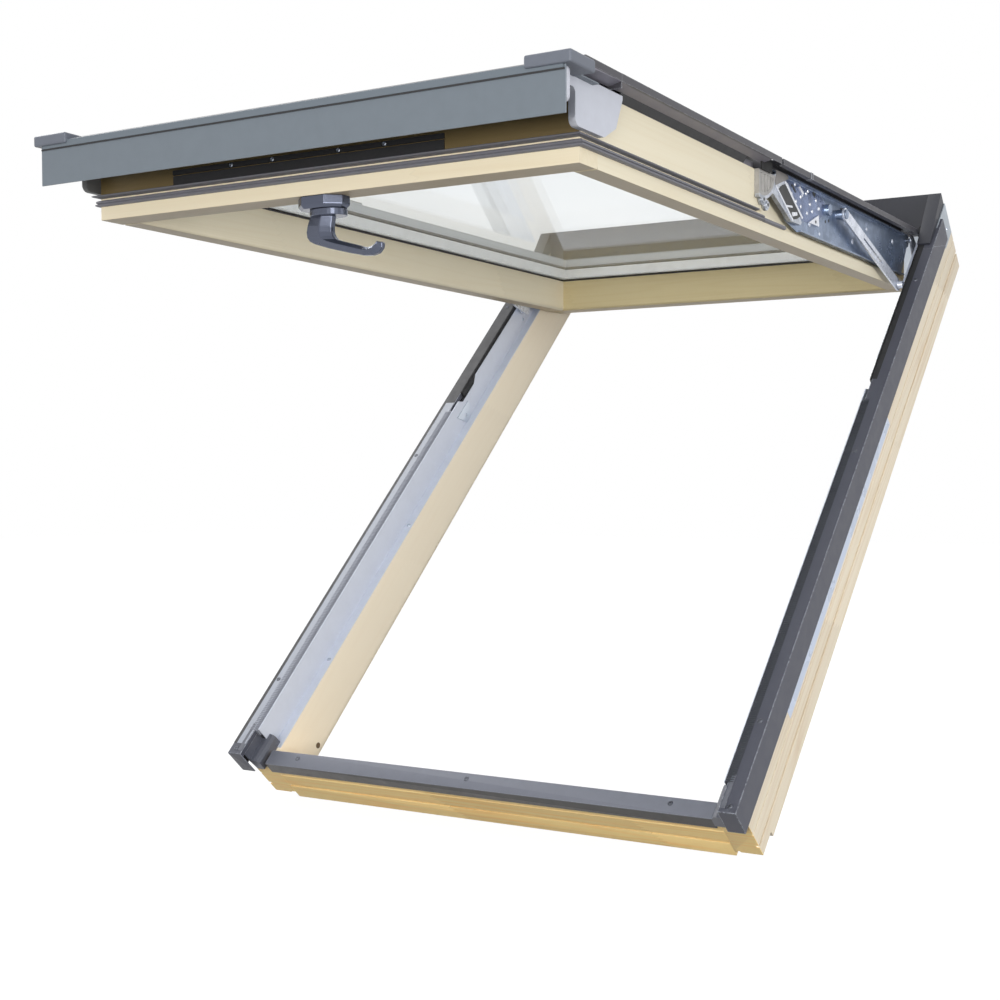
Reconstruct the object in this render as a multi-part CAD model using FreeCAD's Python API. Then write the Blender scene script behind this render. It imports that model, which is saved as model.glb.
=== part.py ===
import FreeCAD, Part
import math
import os

# Timber roof window with aluminium cladding. The sash hangs from two side arms at the top,
# and also turns about its middle in two friction hinges. It is drawn closed and lying flat:
# X to the right, Y up the roof slope, Z out of the roof. Then the sash is swung open and
# the whole window is tilted to the roof pitch. Sizes are in millimetres.

# How the window stands
ROOF_PITCH = 45.0
SASH_OPENING = 45.0

# Timber frame
FRAME_WIDTH = 780.0
FRAME_HEIGHT = 1178.0
POST_THICKNESS = 38.5
RAIL_THICKNESS = 35.0
TIMBER_DEPTH = 82.0
POST_NIB_THICKNESS = 16.0
POST_NIB_RISE = 42.0
NIB_SETBACK = 1.5
RAIL_STEP_DEPTH = 46.0
RAIL_STEP_THICKNESS = 16.0
BRACKET_GROOVE_DEPTH = 4.0
BRACKET_GROOVE_HEIGHT = 27.0
BRACKET_GROOVE_WIDTH = 4.0
FACE_GROOVE_DEPTH = 1.5
FACE_GROOVE_HEIGHT = 53.5
FACE_GROOVE_WIDTH = 2.0
LINING_GROOVE = 12.0
LINING_LIP = 8.0
POST_FOOT_NOTCH = 10.0
POST_FOOT_NOTCH_LENGTH = 34.0

# Clearances between moving pieces and between seated ones
MOVING_GAP = 5.0
RUNNING_GAP = 0.05
SEAT_GAP = 0.3

# Frame cladding, bent from sheet
SHEET = 1.5
CLADDING_OVERHANG = 4.5
CLADDING_FACE = 23.5
CLADDING_SIDE_DEPTH = 42.5
CLADDING_FOOT = 16.0
CLADDING_FOLD_FROM_TOP = 115.0
CLADDING_SLANT_LENGTH = 63.0
CLADDING_LIP = 8.0
BOTTOM_CLADDING_FRONT = 6.0
BOTTOM_CLADDING_RISE = 11.7
BOTTOM_CLADDING_SKIRT = 20.7

# Guide rail, seal and spring beside each sash edge
RAIL_SHEET = 1.5
GUIDE_LEDGE = 13.5
GUIDE_RISE = 43.0
GUIDE_FOOT = 28.0
GUIDE_HEAD_GAP = 56.0
SEAL_LOW_RISE = 18.0
SEAL_HEIGHT = 17.0
SPRING_RADIUS = 1.8
SPRING_LENGTH = 250.0
SPRING_BELOW_STUD = 15.0
LATCH_LENGTH = 44.0
LATCH_RISE = 26.0
LATCH_BELOW_STUD = 75.0
LATCH_LEAN = 16.0
LATCH_HOLE_RADIUS = 3.5
BLOCK_LENGTH = 37.0
BLOCK_FOOT = 10.0
BLOCK_HEIGHT = 22.0
BLOCK_WALL = 2.5
BLOCK_ROUND = 7.0
SIDE_STRIP_WIDTH = 22.0
SIDE_STRIP_START = 170.0
SIDE_STRIP_END = 716.0
SIDE_STRIP_THICKNESS = 1.0

# Hood over the top rail
HOOD_RISE = 68.0
HOOD_SHEET = 2.0
HOOD_FRONT = 48.0
HOOD_FRONT_DROP = 45.0
HOOD_LIP = 7.0
HOOD_INSET = 2.0
HOOD_WING_LENGTH = 107.0
HOOD_WING_START_HEIGHT = 5.0
HOOD_END_DROP = 11.0
HOOD_END_RISE = 47.0
HOOD_END_LENGTH = 90.0
HOOD_END_FOOT_LENGTH = 46.0

# Sash timber, and how it sits in the frame
SASH_SIDE_GAP = 13.5
SASH_FOOT_GAP = 8.5
SASH_HEAD_GAP = 26.0
SASH_SINK = 51.0
SASH_DEPTH = 78.0
FLANGE_DEPTH = 15.9
STILE_THICKNESS = 29.5
BOTTOM_RAIL_THICKNESS = 36.5
UPPER_STILE_CUT = 8.0
GLASS_REBATE = 55.0
REBATE_WIDTH = 5.0
INNER_EDGE_ROUND = 4.0

# Glazing
GLASS_THICKNESS = 24.0
PANE_THICKNESS = 4.0
GASKET_THICKNESS = 3.0

# Sash cladding
COVER_RISE = 19.4
COVER_SIDE_GAP = 5.5
COVER_BITE = 17.5
COVER_SIDE_DEPTH = 8.0
COVER_LEG_SETBACK = 6.0
COVER_LIP = 15.5
COVER_LIP_DROP = 3.5
COVER_EAR_LENGTH = 30.0
COVER_EAR_WIDTH = 9.5
COVER_SLOPE_LENGTH = 44.0
COVER_SLOPE_DROP = 15.9
COVER_FRONT_LIP = 7.5
GLAZING_COVER_RISE = 17.0
FASCIA_DROP = 46.5
FASCIA_RETURN = 77.0
FASCIA_SIDE_GAP = 9.0
CAP_WIDTH = 54.0
CAP_THICKNESS = 3.0
CAP_FRONT_HEIGHT = 12.0
CAP_SLANT = 6.0
CAP_TOP_LENGTH = 14.0
CAP_CORNER = 4.0

# Sash seals and vent strip
SEAL_STEP = 4.0
SEAL_BAND = 5.1
BOTTOM_SEAL_STEP = 2.5
BAND_PAST_PIVOT = 88.0
FIN_SEAT_RISE = 9.6
FIN_SEAT_WIDTH = 3.5
FIN_SEAT_DEPTH = 3.0
FIN_STEP = 1.2
VENT_HALF_LENGTH = 195.0
VENT_CENTRE = -21.0
VENT_DROP = 36.0
VENT_DEPTH = 5.5
VENT_THICKNESS = 2.0

# End brackets that carry the fascia
END_BRACKET_THICKNESS = 8.0
END_BRACKET_DROP = 46.5
END_BRACKET_RISE = 4.0
END_BRACKET_START = 22.0
END_BRACKET_NOTCH = 3.5
END_BRACKET_LENGTH = 58.0
END_BRACKET_SLANT = (24.0, 14.0)
END_BRACKET_TAIL = 14.0
END_BRACKET_ROUND = 8.0
END_WING_DROP = 35.0
END_WING_ROUND = 6.0

# Top hinge, arms and struts
HINGE_FROM_TOP = 73.2
HINGE_RISE = 3.4
PIN_RADIUS = 4.0
ARM_STILE_GAP = 6.0
ARM_SHEET = 2.0
ARM_FLANGE = 8.0
ARM_FLANGE_GAP = 5.1
ARM_RISE = 10.5
ARM_FLANGE_SETBACK = 28.8
ARM_EAR_RADIUS = 11.0
PIN_TIP_GAP = 2.0
BRACKET_SHEET = 3.0
BRACKET_GAP = 1.0
BRACKET_EAR_RADIUS = 8.5
BRACKET_LENGTH = 30.0
STRUT_FROM_HINGE = 329.8
STRUT_DROP = 9.0
STRUT_LENGTH = 254.8
STRUT_ANGLE_OPEN = -16.2
STRUT_SHEET = 3.0
STRUT_HALF_WIDTH = 9.0
STRUT_SLOT_LENGTH = 90.0
STRUT_SLOT_HALF_WIDTH = 1.6
STRUT_ROLLER_RADIUS = 6.0
STRUT_ROLLER_LENGTH = 8.0
STUD_HEAD_RADIUS = 7.0
STUD_HEAD_THICKNESS = 1.7
ARM_BOSS_FROM_STUD = 42.0
ARM_BOSS_RADIUS = 8.0

# Centre pivot. The cradle's outline is given from the pivot's centre.
PIVOT_UP = 487.0
PIVOT_RISE = 13.0
DISC_RADIUS = 45.0
DISC_THICKNESS = 7.0
DISC_FLAT = 10.0
DISC_RIM = 4.0
DISC_RIB_DEPTH = 1.5
DISC_RIB_WIDTH = 3.0
DISC_RIB_COUNT = 4
STILE_CUT_FROM_PIVOT = 16.0
ARM_COVER_FROM_PIVOT = 36.0
ARM_COVER_LIP = 6.5
ARM_COVER_LIP_DROP = 1.0
CRADLE_WALL = 4.0
CRADLE_RISE = 3.0
CRADLE_OFFSET = 1.0
CRADLE_PLATE_TOP = 85.0
CRADLE_PLATE_LOW = (97.0, 135.0)
CRADLE_PLATE_DROP = 62.0
CRADLE_NECK = 37.0
CRADLE_SLOT = ((56.0, -24.0), (75.0, -19.0), (116.0, -51.0), (98.0, -51.0))
CRADLE_WELD = 13.0
KNOB_RADIUS = 4.5
KNOB_SEAT_RADIUS = 7.0
KNOB_STEP = 2.0
KNOB_PLACES = ((6.0, -49.0), (19.0, -54.0))

# Handle. The lever's outline is given from its turning axis and the base's room-side face.
HANDLE_UP = 62.0
HANDLE_SIDE = -4.0
BASE_HALF_LENGTH = 28.0
BASE_HALF_WIDTH = 16.0
BASE_END_HALF_WIDTH = 10.0
BASE_FACET = 15.0
BASE_THICKNESS = 12.0
LEVER_HALF_WIDTH = 7.0
STEM_LEFT = -26.0
STEM_RIGHT = 13.0
STEM_DEPTH = 30.0
HEAD_RIGHT = 30.0
HEAD_THICKNESS = 8.0
GRIP_END = 82.0
GRIP_THICKNESS = 8.0
GRIP_DEPTH = 57.0
GRIP_HOOK = 8.0
STEM_ROUND = 9.0
GRIP_INNER_ROUND = 14.0

# Across the window, from the middle outwards
HALF_WIDTH = FRAME_WIDTH / 2
POST_INNER = HALF_WIDTH - POST_THICKNESS
NIB_INNER = HALF_WIDTH - POST_NIB_THICKNESS
CLADDING_OUTER = HALF_WIDTH + CLADDING_OVERHANG
CLADDING_INNER = CLADDING_OUTER - CLADDING_FACE
GUIDE_WALL = POST_INNER + GUIDE_LEDGE
SASH_HALF_WIDTH = POST_INNER - SASH_SIDE_GAP
SASH_INNER = SASH_HALF_WIDTH - STILE_THICKNESS
UPPER_STILE_HALF_WIDTH = SASH_HALF_WIDTH - UPPER_STILE_CUT
GLASS_HALF_WIDTH = SASH_INNER + REBATE_WIDTH
COVER_INNER = GLASS_HALF_WIDTH - COVER_BITE
COVER_HALF_WIDTH = GUIDE_WALL - COVER_SIDE_GAP
FASCIA_HALF_WIDTH = CLADDING_INNER - FASCIA_SIDE_GAP
CAP_HALF_WIDTH = CLADDING_INNER
ARM_INNER = UPPER_STILE_HALF_WIDTH + ARM_STILE_GAP
ARM_OUTER = ARM_INNER + ARM_FLANGE
BRACKET_INNER = ARM_OUTER + BRACKET_GAP
STRUT_INNER = ARM_OUTER + MOVING_GAP
PIN_TIP = UPPER_STILE_HALF_WIDTH + PIN_TIP_GAP
HOOD_HALF_WIDTH = GUIDE_WALL + RAIL_SHEET

# Out of the roof, from the room side outwards
POST_NIB_TOP = TIMBER_DEPTH + POST_NIB_RISE
CLADDING_TOP = POST_NIB_TOP + SHEET
BOTTOM_CLADDING_TOP = TIMBER_DEPTH + BOTTOM_CLADDING_RISE
SEAL_LOW = TIMBER_DEPTH + SEAL_LOW_RISE
SEAL_HIGH = SEAL_LOW + SEAL_HEIGHT
HOOD_TOP = TIMBER_DEPTH + HOOD_RISE
SASH_BACK = TIMBER_DEPTH - SASH_SINK
SASH_FLANGE_TOP = SASH_BACK + FLANGE_DEPTH
SASH_WOOD_TOP = SASH_BACK + SASH_DEPTH
GLASS_BACK = SASH_BACK + GLASS_REBATE
GLASS_FRONT = GLASS_BACK + GLASS_THICKNESS
GASKET_TOP = GLASS_FRONT + GASKET_THICKNESS
COVER_TOP = SASH_WOOD_TOP + COVER_RISE
COVER_SIDE_LOW = COVER_TOP - COVER_SIDE_DEPTH
COVER_FRONT_TOP = COVER_TOP - COVER_SLOPE_DROP
GLAZING_COVER_TOP = SASH_WOOD_TOP + GLAZING_COVER_RISE
FIN_SEAT_LOW = SASH_FLANGE_TOP + FIN_SEAT_RISE
HINGE_OUT = SASH_WOOD_TOP + HINGE_RISE
PIVOT_OUT = SASH_WOOD_TOP + PIVOT_RISE
STRUT_OUT = SASH_WOOD_TOP - STRUT_DROP
ARM_HIGH = SASH_WOOD_TOP + ARM_RISE
ARM_LOW = SASH_FLANGE_TOP + ARM_FLANGE_GAP

# Up the slope, from the bottom rail to the top
SASH_BOTTOM = RAIL_THICKNESS + SASH_FOOT_GAP
SASH_TOP = FRAME_HEIGHT - RAIL_THICKNESS - SASH_HEAD_GAP
GLASS_BOTTOM = SASH_BOTTOM + BOTTOM_RAIL_THICKNESS - REBATE_WIDTH
GLASS_TOP = SASH_TOP - BOTTOM_RAIL_THICKNESS + REBATE_WIDTH
COVER_BOTTOM = GLASS_BOTTOM + COVER_BITE
COVER_END = GLASS_TOP - COVER_BITE
FASCIA_FRONT = CLADDING_FOOT + MOVING_GAP + SHEET
HINGE_UP = FRAME_HEIGHT - HINGE_FROM_TOP
STRUT_UP = HINGE_UP - STRUT_FROM_HINGE
ARM_FLANGE_END = HINGE_UP - ARM_FLANGE_SETBACK
STILE_CUT_START = PIVOT_UP + STILE_CUT_FROM_PIVOT
ARM_COVER_START = PIVOT_UP + ARM_COVER_FROM_PIVOT
CLADDING_FOLD = FRAME_HEIGHT - CLADDING_FOLD_FROM_TOP
CLADDING_END = CLADDING_FOLD + CLADDING_SLANT_LENGTH

ORIGIN = FreeCAD.Vector(0, 0, 0)
AXIS_X = FreeCAD.Vector(1, 0, 0)
AXIS_Y = FreeCAD.Vector(0, 1, 0)


def vector(x, y, z):
    return FreeCAD.Vector(x, y, z)


def box(x0, x1, y0, y1, z0, z1):
    return Part.makeBox(x1 - x0, y1 - y0, z1 - z0, vector(x0, y0, z0))


def along_x(outline, x0, x1):
    """Solid from an outline of (y, z) points, run from x0 to x1."""
    points = [vector(x0, y, z) for y, z in outline]
    points.append(points[0])
    return Part.Face(Part.makePolygon(points)).extrude(vector(x1 - x0, 0, 0))


def along_y(outline, y0, y1):
    """Solid from an outline of (x, z) points, run from y0 to y1."""
    points = [vector(x, y0, z) for x, z in outline]
    points.append(points[0])
    return Part.Face(Part.makePolygon(points)).extrude(vector(0, y1 - y0, 0))


def along_z(outline, z0, z1):
    """Solid from an outline of (x, y) points, run from z0 to z1."""
    points = [vector(x, y, z0) for x, y in outline]
    points.append(points[0])
    return Part.Face(Part.makePolygon(points)).extrude(vector(0, 0, z1 - z0))


def rod_x(radius, x0, x1, y, z):
    return Part.makeCylinder(radius, x1 - x0, vector(x0, y, z), AXIS_X)


def rod_z(radius, z0, z1, x, y):
    return Part.makeCylinder(radius, z1 - z0, vector(x, y, z0))


def edges_where(shape, test):
    return [edge for edge in shape.Edges if test(edge)]


def runs_along(edge, axis):
    if len(edge.Vertexes) < 2:
        return False
    step = edge.Vertexes[1].Point - edge.Vertexes[0].Point
    return abs(abs(step.dot(axis)) - step.Length) < 1e-6 and step.Length > 0


def to_left(shape):
    return shape.mirror(ORIGIN, AXIS_X)


def both(shape):
    """The right-hand piece together with its mirror image on the left."""
    return Part.makeCompound([shape, to_left(shape)])


# Fixed frame

def frame_post():
    """Right post, with a nib under the cladding, a bracket groove and a notched foot."""
    outline = [
        (POST_INNER, LINING_GROOVE),
        (POST_INNER, TIMBER_DEPTH),
        (NIB_INNER, TIMBER_DEPTH),
        (NIB_INNER, POST_NIB_TOP),
        (HALF_WIDTH - NIB_SETBACK, POST_NIB_TOP),
        (HALF_WIDTH - NIB_SETBACK, TIMBER_DEPTH),
        (HALF_WIDTH, TIMBER_DEPTH),
        (HALF_WIDTH, 0),
        (POST_INNER + LINING_LIP, 0),
        (POST_INNER + LINING_LIP, LINING_GROOVE),
    ]
    post = along_y(outline, 0, FRAME_HEIGHT)
    groove = box(HALF_WIDTH - BRACKET_GROOVE_DEPTH, HALF_WIDTH, 0, FRAME_HEIGHT,
                 BRACKET_GROOVE_HEIGHT, BRACKET_GROOVE_HEIGHT + BRACKET_GROOVE_WIDTH)
    line = box(HALF_WIDTH - FACE_GROOVE_DEPTH, HALF_WIDTH, 0, FRAME_HEIGHT,
               FACE_GROOVE_HEIGHT, FACE_GROOVE_HEIGHT + FACE_GROOVE_WIDTH)
    notch = box(POST_INNER, HALF_WIDTH, 0, POST_FOOT_NOTCH_LENGTH, 0, POST_FOOT_NOTCH)
    return post.cut([groove, line, notch, side_strip(), hood_end()])


def frame_bottom_rail():
    """Bottom rail between the posts, stepped back above so that the sash can swing past."""
    nib_top = BOTTOM_CLADDING_TOP - SHEET
    outline = [
        (0, 0),
        (RAIL_THICKNESS - LINING_LIP, 0),
        (RAIL_THICKNESS - LINING_LIP, LINING_GROOVE),
        (RAIL_THICKNESS, LINING_GROOVE),
        (RAIL_THICKNESS, RAIL_STEP_DEPTH),
        (RAIL_STEP_THICKNESS, RAIL_STEP_DEPTH),
        (RAIL_STEP_THICKNESS, nib_top),
        (0, nib_top),
    ]
    rail = along_x(outline, -POST_INNER, POST_INNER)
    groove = box(-POST_INNER, POST_INNER, 0, BRACKET_GROOVE_DEPTH,
                 BRACKET_GROOVE_HEIGHT, BRACKET_GROOVE_HEIGHT + BRACKET_GROOVE_WIDTH)
    line = box(-POST_INNER, POST_INNER, 0, FACE_GROOVE_DEPTH,
               FACE_GROOVE_HEIGHT, FACE_GROOVE_HEIGHT + FACE_GROOVE_WIDTH)
    return rail.cut([groove, line])


def frame_top_rail():
    inner = FRAME_HEIGHT - RAIL_THICKNESS
    outline = [
        (inner, LINING_GROOVE),
        (inner, TIMBER_DEPTH),
        (FRAME_HEIGHT, TIMBER_DEPTH),
        (FRAME_HEIGHT, 0),
        (inner + LINING_LIP, 0),
        (inner + LINING_LIP, LINING_GROOVE),
    ]
    return along_x(outline, -POST_INNER, POST_INNER)


def side_cladding():
    """Bent sheet over the right post, slanted at its top and closed at its foot."""
    skin = along_y([
        (CLADDING_INNER, CLADDING_TOP),
        (CLADDING_OUTER, CLADDING_TOP),
        (CLADDING_OUTER, CLADDING_TOP - CLADDING_SIDE_DEPTH),
        (CLADDING_OUTER - SHEET, CLADDING_TOP - CLADDING_SIDE_DEPTH),
        (CLADDING_OUTER - SHEET, POST_NIB_TOP),
        (CLADDING_INNER + SHEET, POST_NIB_TOP),
        (CLADDING_INNER + SHEET, CLADDING_TOP - CLADDING_LIP),
        (CLADDING_INNER, CLADDING_TOP - CLADDING_LIP),
    ], -CLADDING_FOOT, CLADDING_END)
    foot = box(CLADDING_INNER, CLADDING_OUTER, -CLADDING_FOOT, SHEET - CLADDING_FOOT,
               CLADDING_TOP - CLADDING_SIDE_DEPTH, CLADDING_TOP)
    slant = along_x([
        (CLADDING_FOLD, CLADDING_TOP + SHEET),
        (CLADDING_END, CLADDING_TOP - CLADDING_SIDE_DEPTH),
        (CLADDING_END + SHEET, CLADDING_TOP + SHEET),
    ], CLADDING_INNER - SHEET, CLADDING_OUTER + SHEET)
    return skin.fuse(foot).removeSplitter().cut(slant)


def bottom_cladding():
    front = -BOTTOM_CLADDING_FRONT
    outline = [
        (front - SHEET, BOTTOM_CLADDING_TOP),
        (RAIL_STEP_THICKNESS, BOTTOM_CLADDING_TOP),
        (RAIL_STEP_THICKNESS, BOTTOM_CLADDING_TOP - SHEET),
        (front, BOTTOM_CLADDING_TOP - SHEET),
        (front, BOTTOM_CLADDING_TOP - BOTTOM_CLADDING_SKIRT),
        (front - SHEET, BOTTOM_CLADDING_TOP - BOTTOM_CLADDING_SKIRT),
    ]
    return along_x(outline, -POST_INNER, POST_INNER)


def guide_rail():
    """Galvanised angle on the post's ledge, beside the sash edge."""
    top = TIMBER_DEPTH + GUIDE_RISE
    outline = [
        (POST_INNER, TIMBER_DEPTH),
        (GUIDE_WALL + RAIL_SHEET, TIMBER_DEPTH),
        (GUIDE_WALL + RAIL_SHEET, top),
        (GUIDE_WALL, top),
        (GUIDE_WALL, TIMBER_DEPTH + RAIL_SHEET),
        (POST_INNER, TIMBER_DEPTH + RAIL_SHEET),
    ]
    return along_y(outline, GUIDE_FOOT, FRAME_HEIGHT - GUIDE_HEAD_GAP)


def frame_seal():
    """Black strip in the groove between the guide rail and the post's nib."""
    return box(GUIDE_WALL + RAIL_SHEET + SEAT_GAP, NIB_INNER - SEAT_GAP,
               GUIDE_FOOT, FRAME_HEIGHT - GUIDE_HEAD_GAP, SEAL_LOW, SEAL_HIGH)


def guide_spring():
    """Spring rod that lies on the seal in the same groove."""
    middle = (GUIDE_WALL + RAIL_SHEET + CLADDING_INNER) / 2
    base = vector(middle, STRUT_UP - SPRING_BELOW_STUD, SEAL_HIGH + SEAT_GAP + SPRING_RADIUS)
    return Part.makeCylinder(SPRING_RADIUS, SPRING_LENGTH, base, vector(0, 1, 0))


def spring_latch():
    """Small plate with a hole on the guide rail, at the spring's lower end."""
    low = TIMBER_DEPTH + RAIL_SHEET
    high = TIMBER_DEPTH + LATCH_RISE
    start = STRUT_UP - LATCH_BELOW_STUD
    outline = [
        (start, high),
        (start + LATCH_LENGTH, high),
        (start + LATCH_LENGTH, low + LATCH_LEAN),
        (start + LATCH_LENGTH - LATCH_LEAN, low),
        (start + LATCH_LEAN, low),
    ]
    plate = along_x(outline, GUIDE_WALL - RAIL_SHEET, GUIDE_WALL)
    hole = rod_x(LATCH_HOLE_RADIUS, GUIDE_WALL - RAIL_SHEET, GUIDE_WALL,
                 start + LATCH_LENGTH / 2, (high + low) / 2)
    return plate.cut(hole)


def corner_block():
    """Moulded arch that closes the corner between side and bottom cladding, open at its foot."""
    top = TIMBER_DEPTH + BLOCK_HEIGHT
    back = BLOCK_LENGTH - BLOCK_FOOT
    block = box(POST_INNER, CLADDING_INNER, -BLOCK_FOOT, back, TIMBER_DEPTH, top)
    crown = edges_where(block, lambda edge: edge.CenterOfMass.z > top - 1e-6
                        and (runs_along(edge, AXIS_Y) or edge.CenterOfMass.y > 0)
                        and edge.CenterOfMass.x < CLADDING_INNER - 1e-6)
    hollow = box(POST_INNER + BLOCK_WALL, CLADDING_INNER - BLOCK_WALL, -BLOCK_FOOT,
                 back - BLOCK_WALL, TIMBER_DEPTH, top - BLOCK_WALL)
    return block.makeFillet(BLOCK_ROUND, crown).cut(hollow)


def side_strip():
    return box(HALF_WIDTH - SIDE_STRIP_THICKNESS, HALF_WIDTH, SIDE_STRIP_START, SIDE_STRIP_END,
               TIMBER_DEPTH - SIDE_STRIP_WIDTH, TIMBER_DEPTH)


def top_hood():
    """Hood on the top rail: its front slopes back over the hinge, and ends in a folded lip.
    Over each post it ends in a low hollow wing that runs out on the side cladding."""
    front = FRAME_HEIGHT - HOOD_FRONT
    front_low = HOOD_TOP - HOOD_FRONT_DROP
    back = FRAME_HEIGHT - HOOD_SHEET
    outline = [
        (FRAME_HEIGHT, HOOD_TOP),
        (FRAME_HEIGHT, TIMBER_DEPTH),
        (back, TIMBER_DEPTH),
        (back, HOOD_TOP - 2 * HOOD_SHEET),
        (front + HOOD_SHEET, front_low),
        (front + HOOD_LIP, front_low - HOOD_LIP),
        (front + HOOD_LIP - HOOD_SHEET, front_low - HOOD_LIP),
        (front, front_low),
    ]
    middle = along_x(outline, -POST_INNER, POST_INNER)
    without_lip = outline[:5] + outline[-1:]
    ledge_part = along_x(without_lip, POST_INNER, HOOD_HALF_WIDTH)
    ledge_back = box(HOOD_HALF_WIDTH, NIB_INNER, back, FRAME_HEIGHT, TIMBER_DEPTH, POST_NIB_TOP)
    start = FRAME_HEIGHT - HOOD_WING_LENGTH
    start_top = POST_NIB_TOP + HOOD_WING_START_HEIGHT
    wing = along_x([
        (FRAME_HEIGHT, POST_NIB_TOP),
        (FRAME_HEIGHT, HOOD_TOP),
        (start, start_top),
        (start, POST_NIB_TOP),
    ], HOOD_HALF_WIDTH, HALF_WIDTH - HOOD_INSET)
    hollow = along_x([
        (back, POST_NIB_TOP),
        (back, HOOD_TOP - 2 * HOOD_SHEET),
        (start + HOOD_SHEET, start_top - HOOD_SHEET),
        (start + HOOD_SHEET, POST_NIB_TOP),
    ], HOOD_HALF_WIDTH + HOOD_SHEET, HALF_WIDTH - HOOD_INSET - HOOD_SHEET)
    end = ledge_part.fuse([ledge_back, wing.cut(hollow)])
    return middle.fuse([end, to_left(end)]).removeSplitter()


def hood_end():
    """Zinc plate at the hood's end, let into the post's outer face."""
    low = TIMBER_DEPTH - HOOD_END_DROP
    high = TIMBER_DEPTH + HOOD_END_RISE
    outline = [
        (FRAME_HEIGHT - HOOD_END_LENGTH, POST_NIB_TOP),
        (FRAME_HEIGHT, high),
        (FRAME_HEIGHT, low),
        (FRAME_HEIGHT - HOOD_END_FOOT_LENGTH, low),
    ]
    return along_x(outline, HALF_WIDTH - HOOD_INSET, HALF_WIDTH)


def hinge_bracket():
    """Foot on the guide rail, upright plate and the pin that the arm hangs on."""
    foot_top = TIMBER_DEPTH + RAIL_SHEET + BRACKET_SHEET
    half = BRACKET_LENGTH / 2
    foot = box(BRACKET_INNER, GUIDE_WALL, HINGE_UP - half, HINGE_UP + half,
               TIMBER_DEPTH + RAIL_SHEET, foot_top)
    outer = BRACKET_INNER + BRACKET_SHEET
    upright = along_x([
        (HINGE_UP - half, foot_top - BRACKET_SHEET),
        (HINGE_UP + half, foot_top - BRACKET_SHEET),
        (HINGE_UP + BRACKET_EAR_RADIUS, HINGE_OUT),
        (HINGE_UP - BRACKET_EAR_RADIUS, HINGE_OUT),
    ], BRACKET_INNER, outer)
    ear = rod_x(BRACKET_EAR_RADIUS, BRACKET_INNER, outer, HINGE_UP, HINGE_OUT)
    pin = rod_x(PIN_RADIUS, PIN_TIP, BRACKET_INNER, HINGE_UP, HINGE_OUT)
    return foot.fuse([upright, ear, pin]).removeSplitter()


# Arms and struts

def pivot_point(along, out):
    """A point given from the pivot's centre."""
    return (PIVOT_UP + along, PIVOT_OUT + out)


def arm():
    """Steel channel from the centre pivot to the top hinge, open towards the post."""
    plate_high = SASH_WOOD_TOP - SHEET
    weld_low, plate_end = CRADLE_PLATE_LOW
    web_outline = [
        (ARM_COVER_START, ARM_HIGH),
        (HINGE_UP - ARM_EAR_RADIUS, ARM_HIGH),
        (HINGE_UP, HINGE_OUT + ARM_EAR_RADIUS),
        (HINGE_UP, HINGE_OUT - ARM_EAR_RADIUS),
        (ARM_FLANGE_END, ARM_LOW),
        (PIVOT_UP + plate_end, ARM_LOW),
        pivot_point(weld_low, -CRADLE_PLATE_DROP),
        (PIVOT_UP + CRADLE_PLATE_TOP - CRADLE_NECK, plate_high),
        (ARM_COVER_START, plate_high),
    ]
    web = along_x(web_outline, ARM_INNER, ARM_INNER + ARM_SHEET)
    ear = rod_x(ARM_EAR_RADIUS, ARM_INNER, ARM_INNER + ARM_SHEET, HINGE_UP, HINGE_OUT)
    flange_start = PIVOT_UP + CRADLE_PLATE_TOP
    top_flange = box(ARM_INNER, ARM_OUTER, flange_start, ARM_FLANGE_END,
                     ARM_HIGH - ARM_SHEET, ARM_HIGH)
    low_flange = box(ARM_INNER, ARM_OUTER, PIVOT_UP + plate_end, ARM_FLANGE_END,
                     ARM_LOW, ARM_LOW + ARM_SHEET)
    head_start = STRUT_INNER + STRUT_SHEET + SEAT_GAP
    stud = rod_x(PIN_RADIUS, ARM_INNER, head_start, STRUT_UP, STRUT_OUT)
    head = rod_x(STUD_HEAD_RADIUS, head_start, head_start + STUD_HEAD_THICKNESS,
                 STRUT_UP, STRUT_OUT)
    collar = rod_x(STUD_HEAD_RADIUS, ARM_INNER, STRUT_INNER - SEAT_GAP, STRUT_UP, STRUT_OUT)
    boss = rod_x(ARM_BOSS_RADIUS, ARM_INNER, ARM_OUTER, STRUT_UP - ARM_BOSS_FROM_STUD, STRUT_OUT)
    pin_hole = rod_x(PIN_RADIUS + RUNNING_GAP, ARM_INNER, ARM_OUTER, HINGE_UP, HINGE_OUT)
    whole = web.fuse([ear, top_flange, low_flange, stud, head, collar, boss])
    return whole.removeSplitter().cut(pin_hole)


def arm_cover():
    """Upper side cover, which stays with the arm and ends over the hinge."""
    leg_inner = ARM_INNER - ARM_SHEET / 2
    lip = COVER_HALF_WIDTH - ARM_COVER_LIP
    outline = [
        (leg_inner, ARM_HIGH),
        (leg_inner, COVER_TOP),
        (COVER_HALF_WIDTH, COVER_TOP),
        (COVER_HALF_WIDTH, COVER_SIDE_LOW),
        (lip, COVER_SIDE_LOW - ARM_COVER_LIP_DROP),
        (lip, COVER_SIDE_LOW - ARM_COVER_LIP_DROP + SHEET),
        (COVER_HALF_WIDTH - SHEET, COVER_SIDE_LOW + SHEET),
        (COVER_HALF_WIDTH - SHEET, COVER_TOP - SHEET),
        (ARM_INNER + ARM_SHEET, COVER_TOP - SHEET),
        (ARM_INNER + ARM_SHEET, ARM_HIGH),
    ]
    cover = along_y(outline, ARM_COVER_START, HINGE_UP)
    ear_room = box(leg_inner, ARM_INNER + ARM_SHEET, ARM_FLANGE_END, HINGE_UP,
                   ARM_HIGH, COVER_TOP - SHEET)
    return cover.cut(ear_room)


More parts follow.
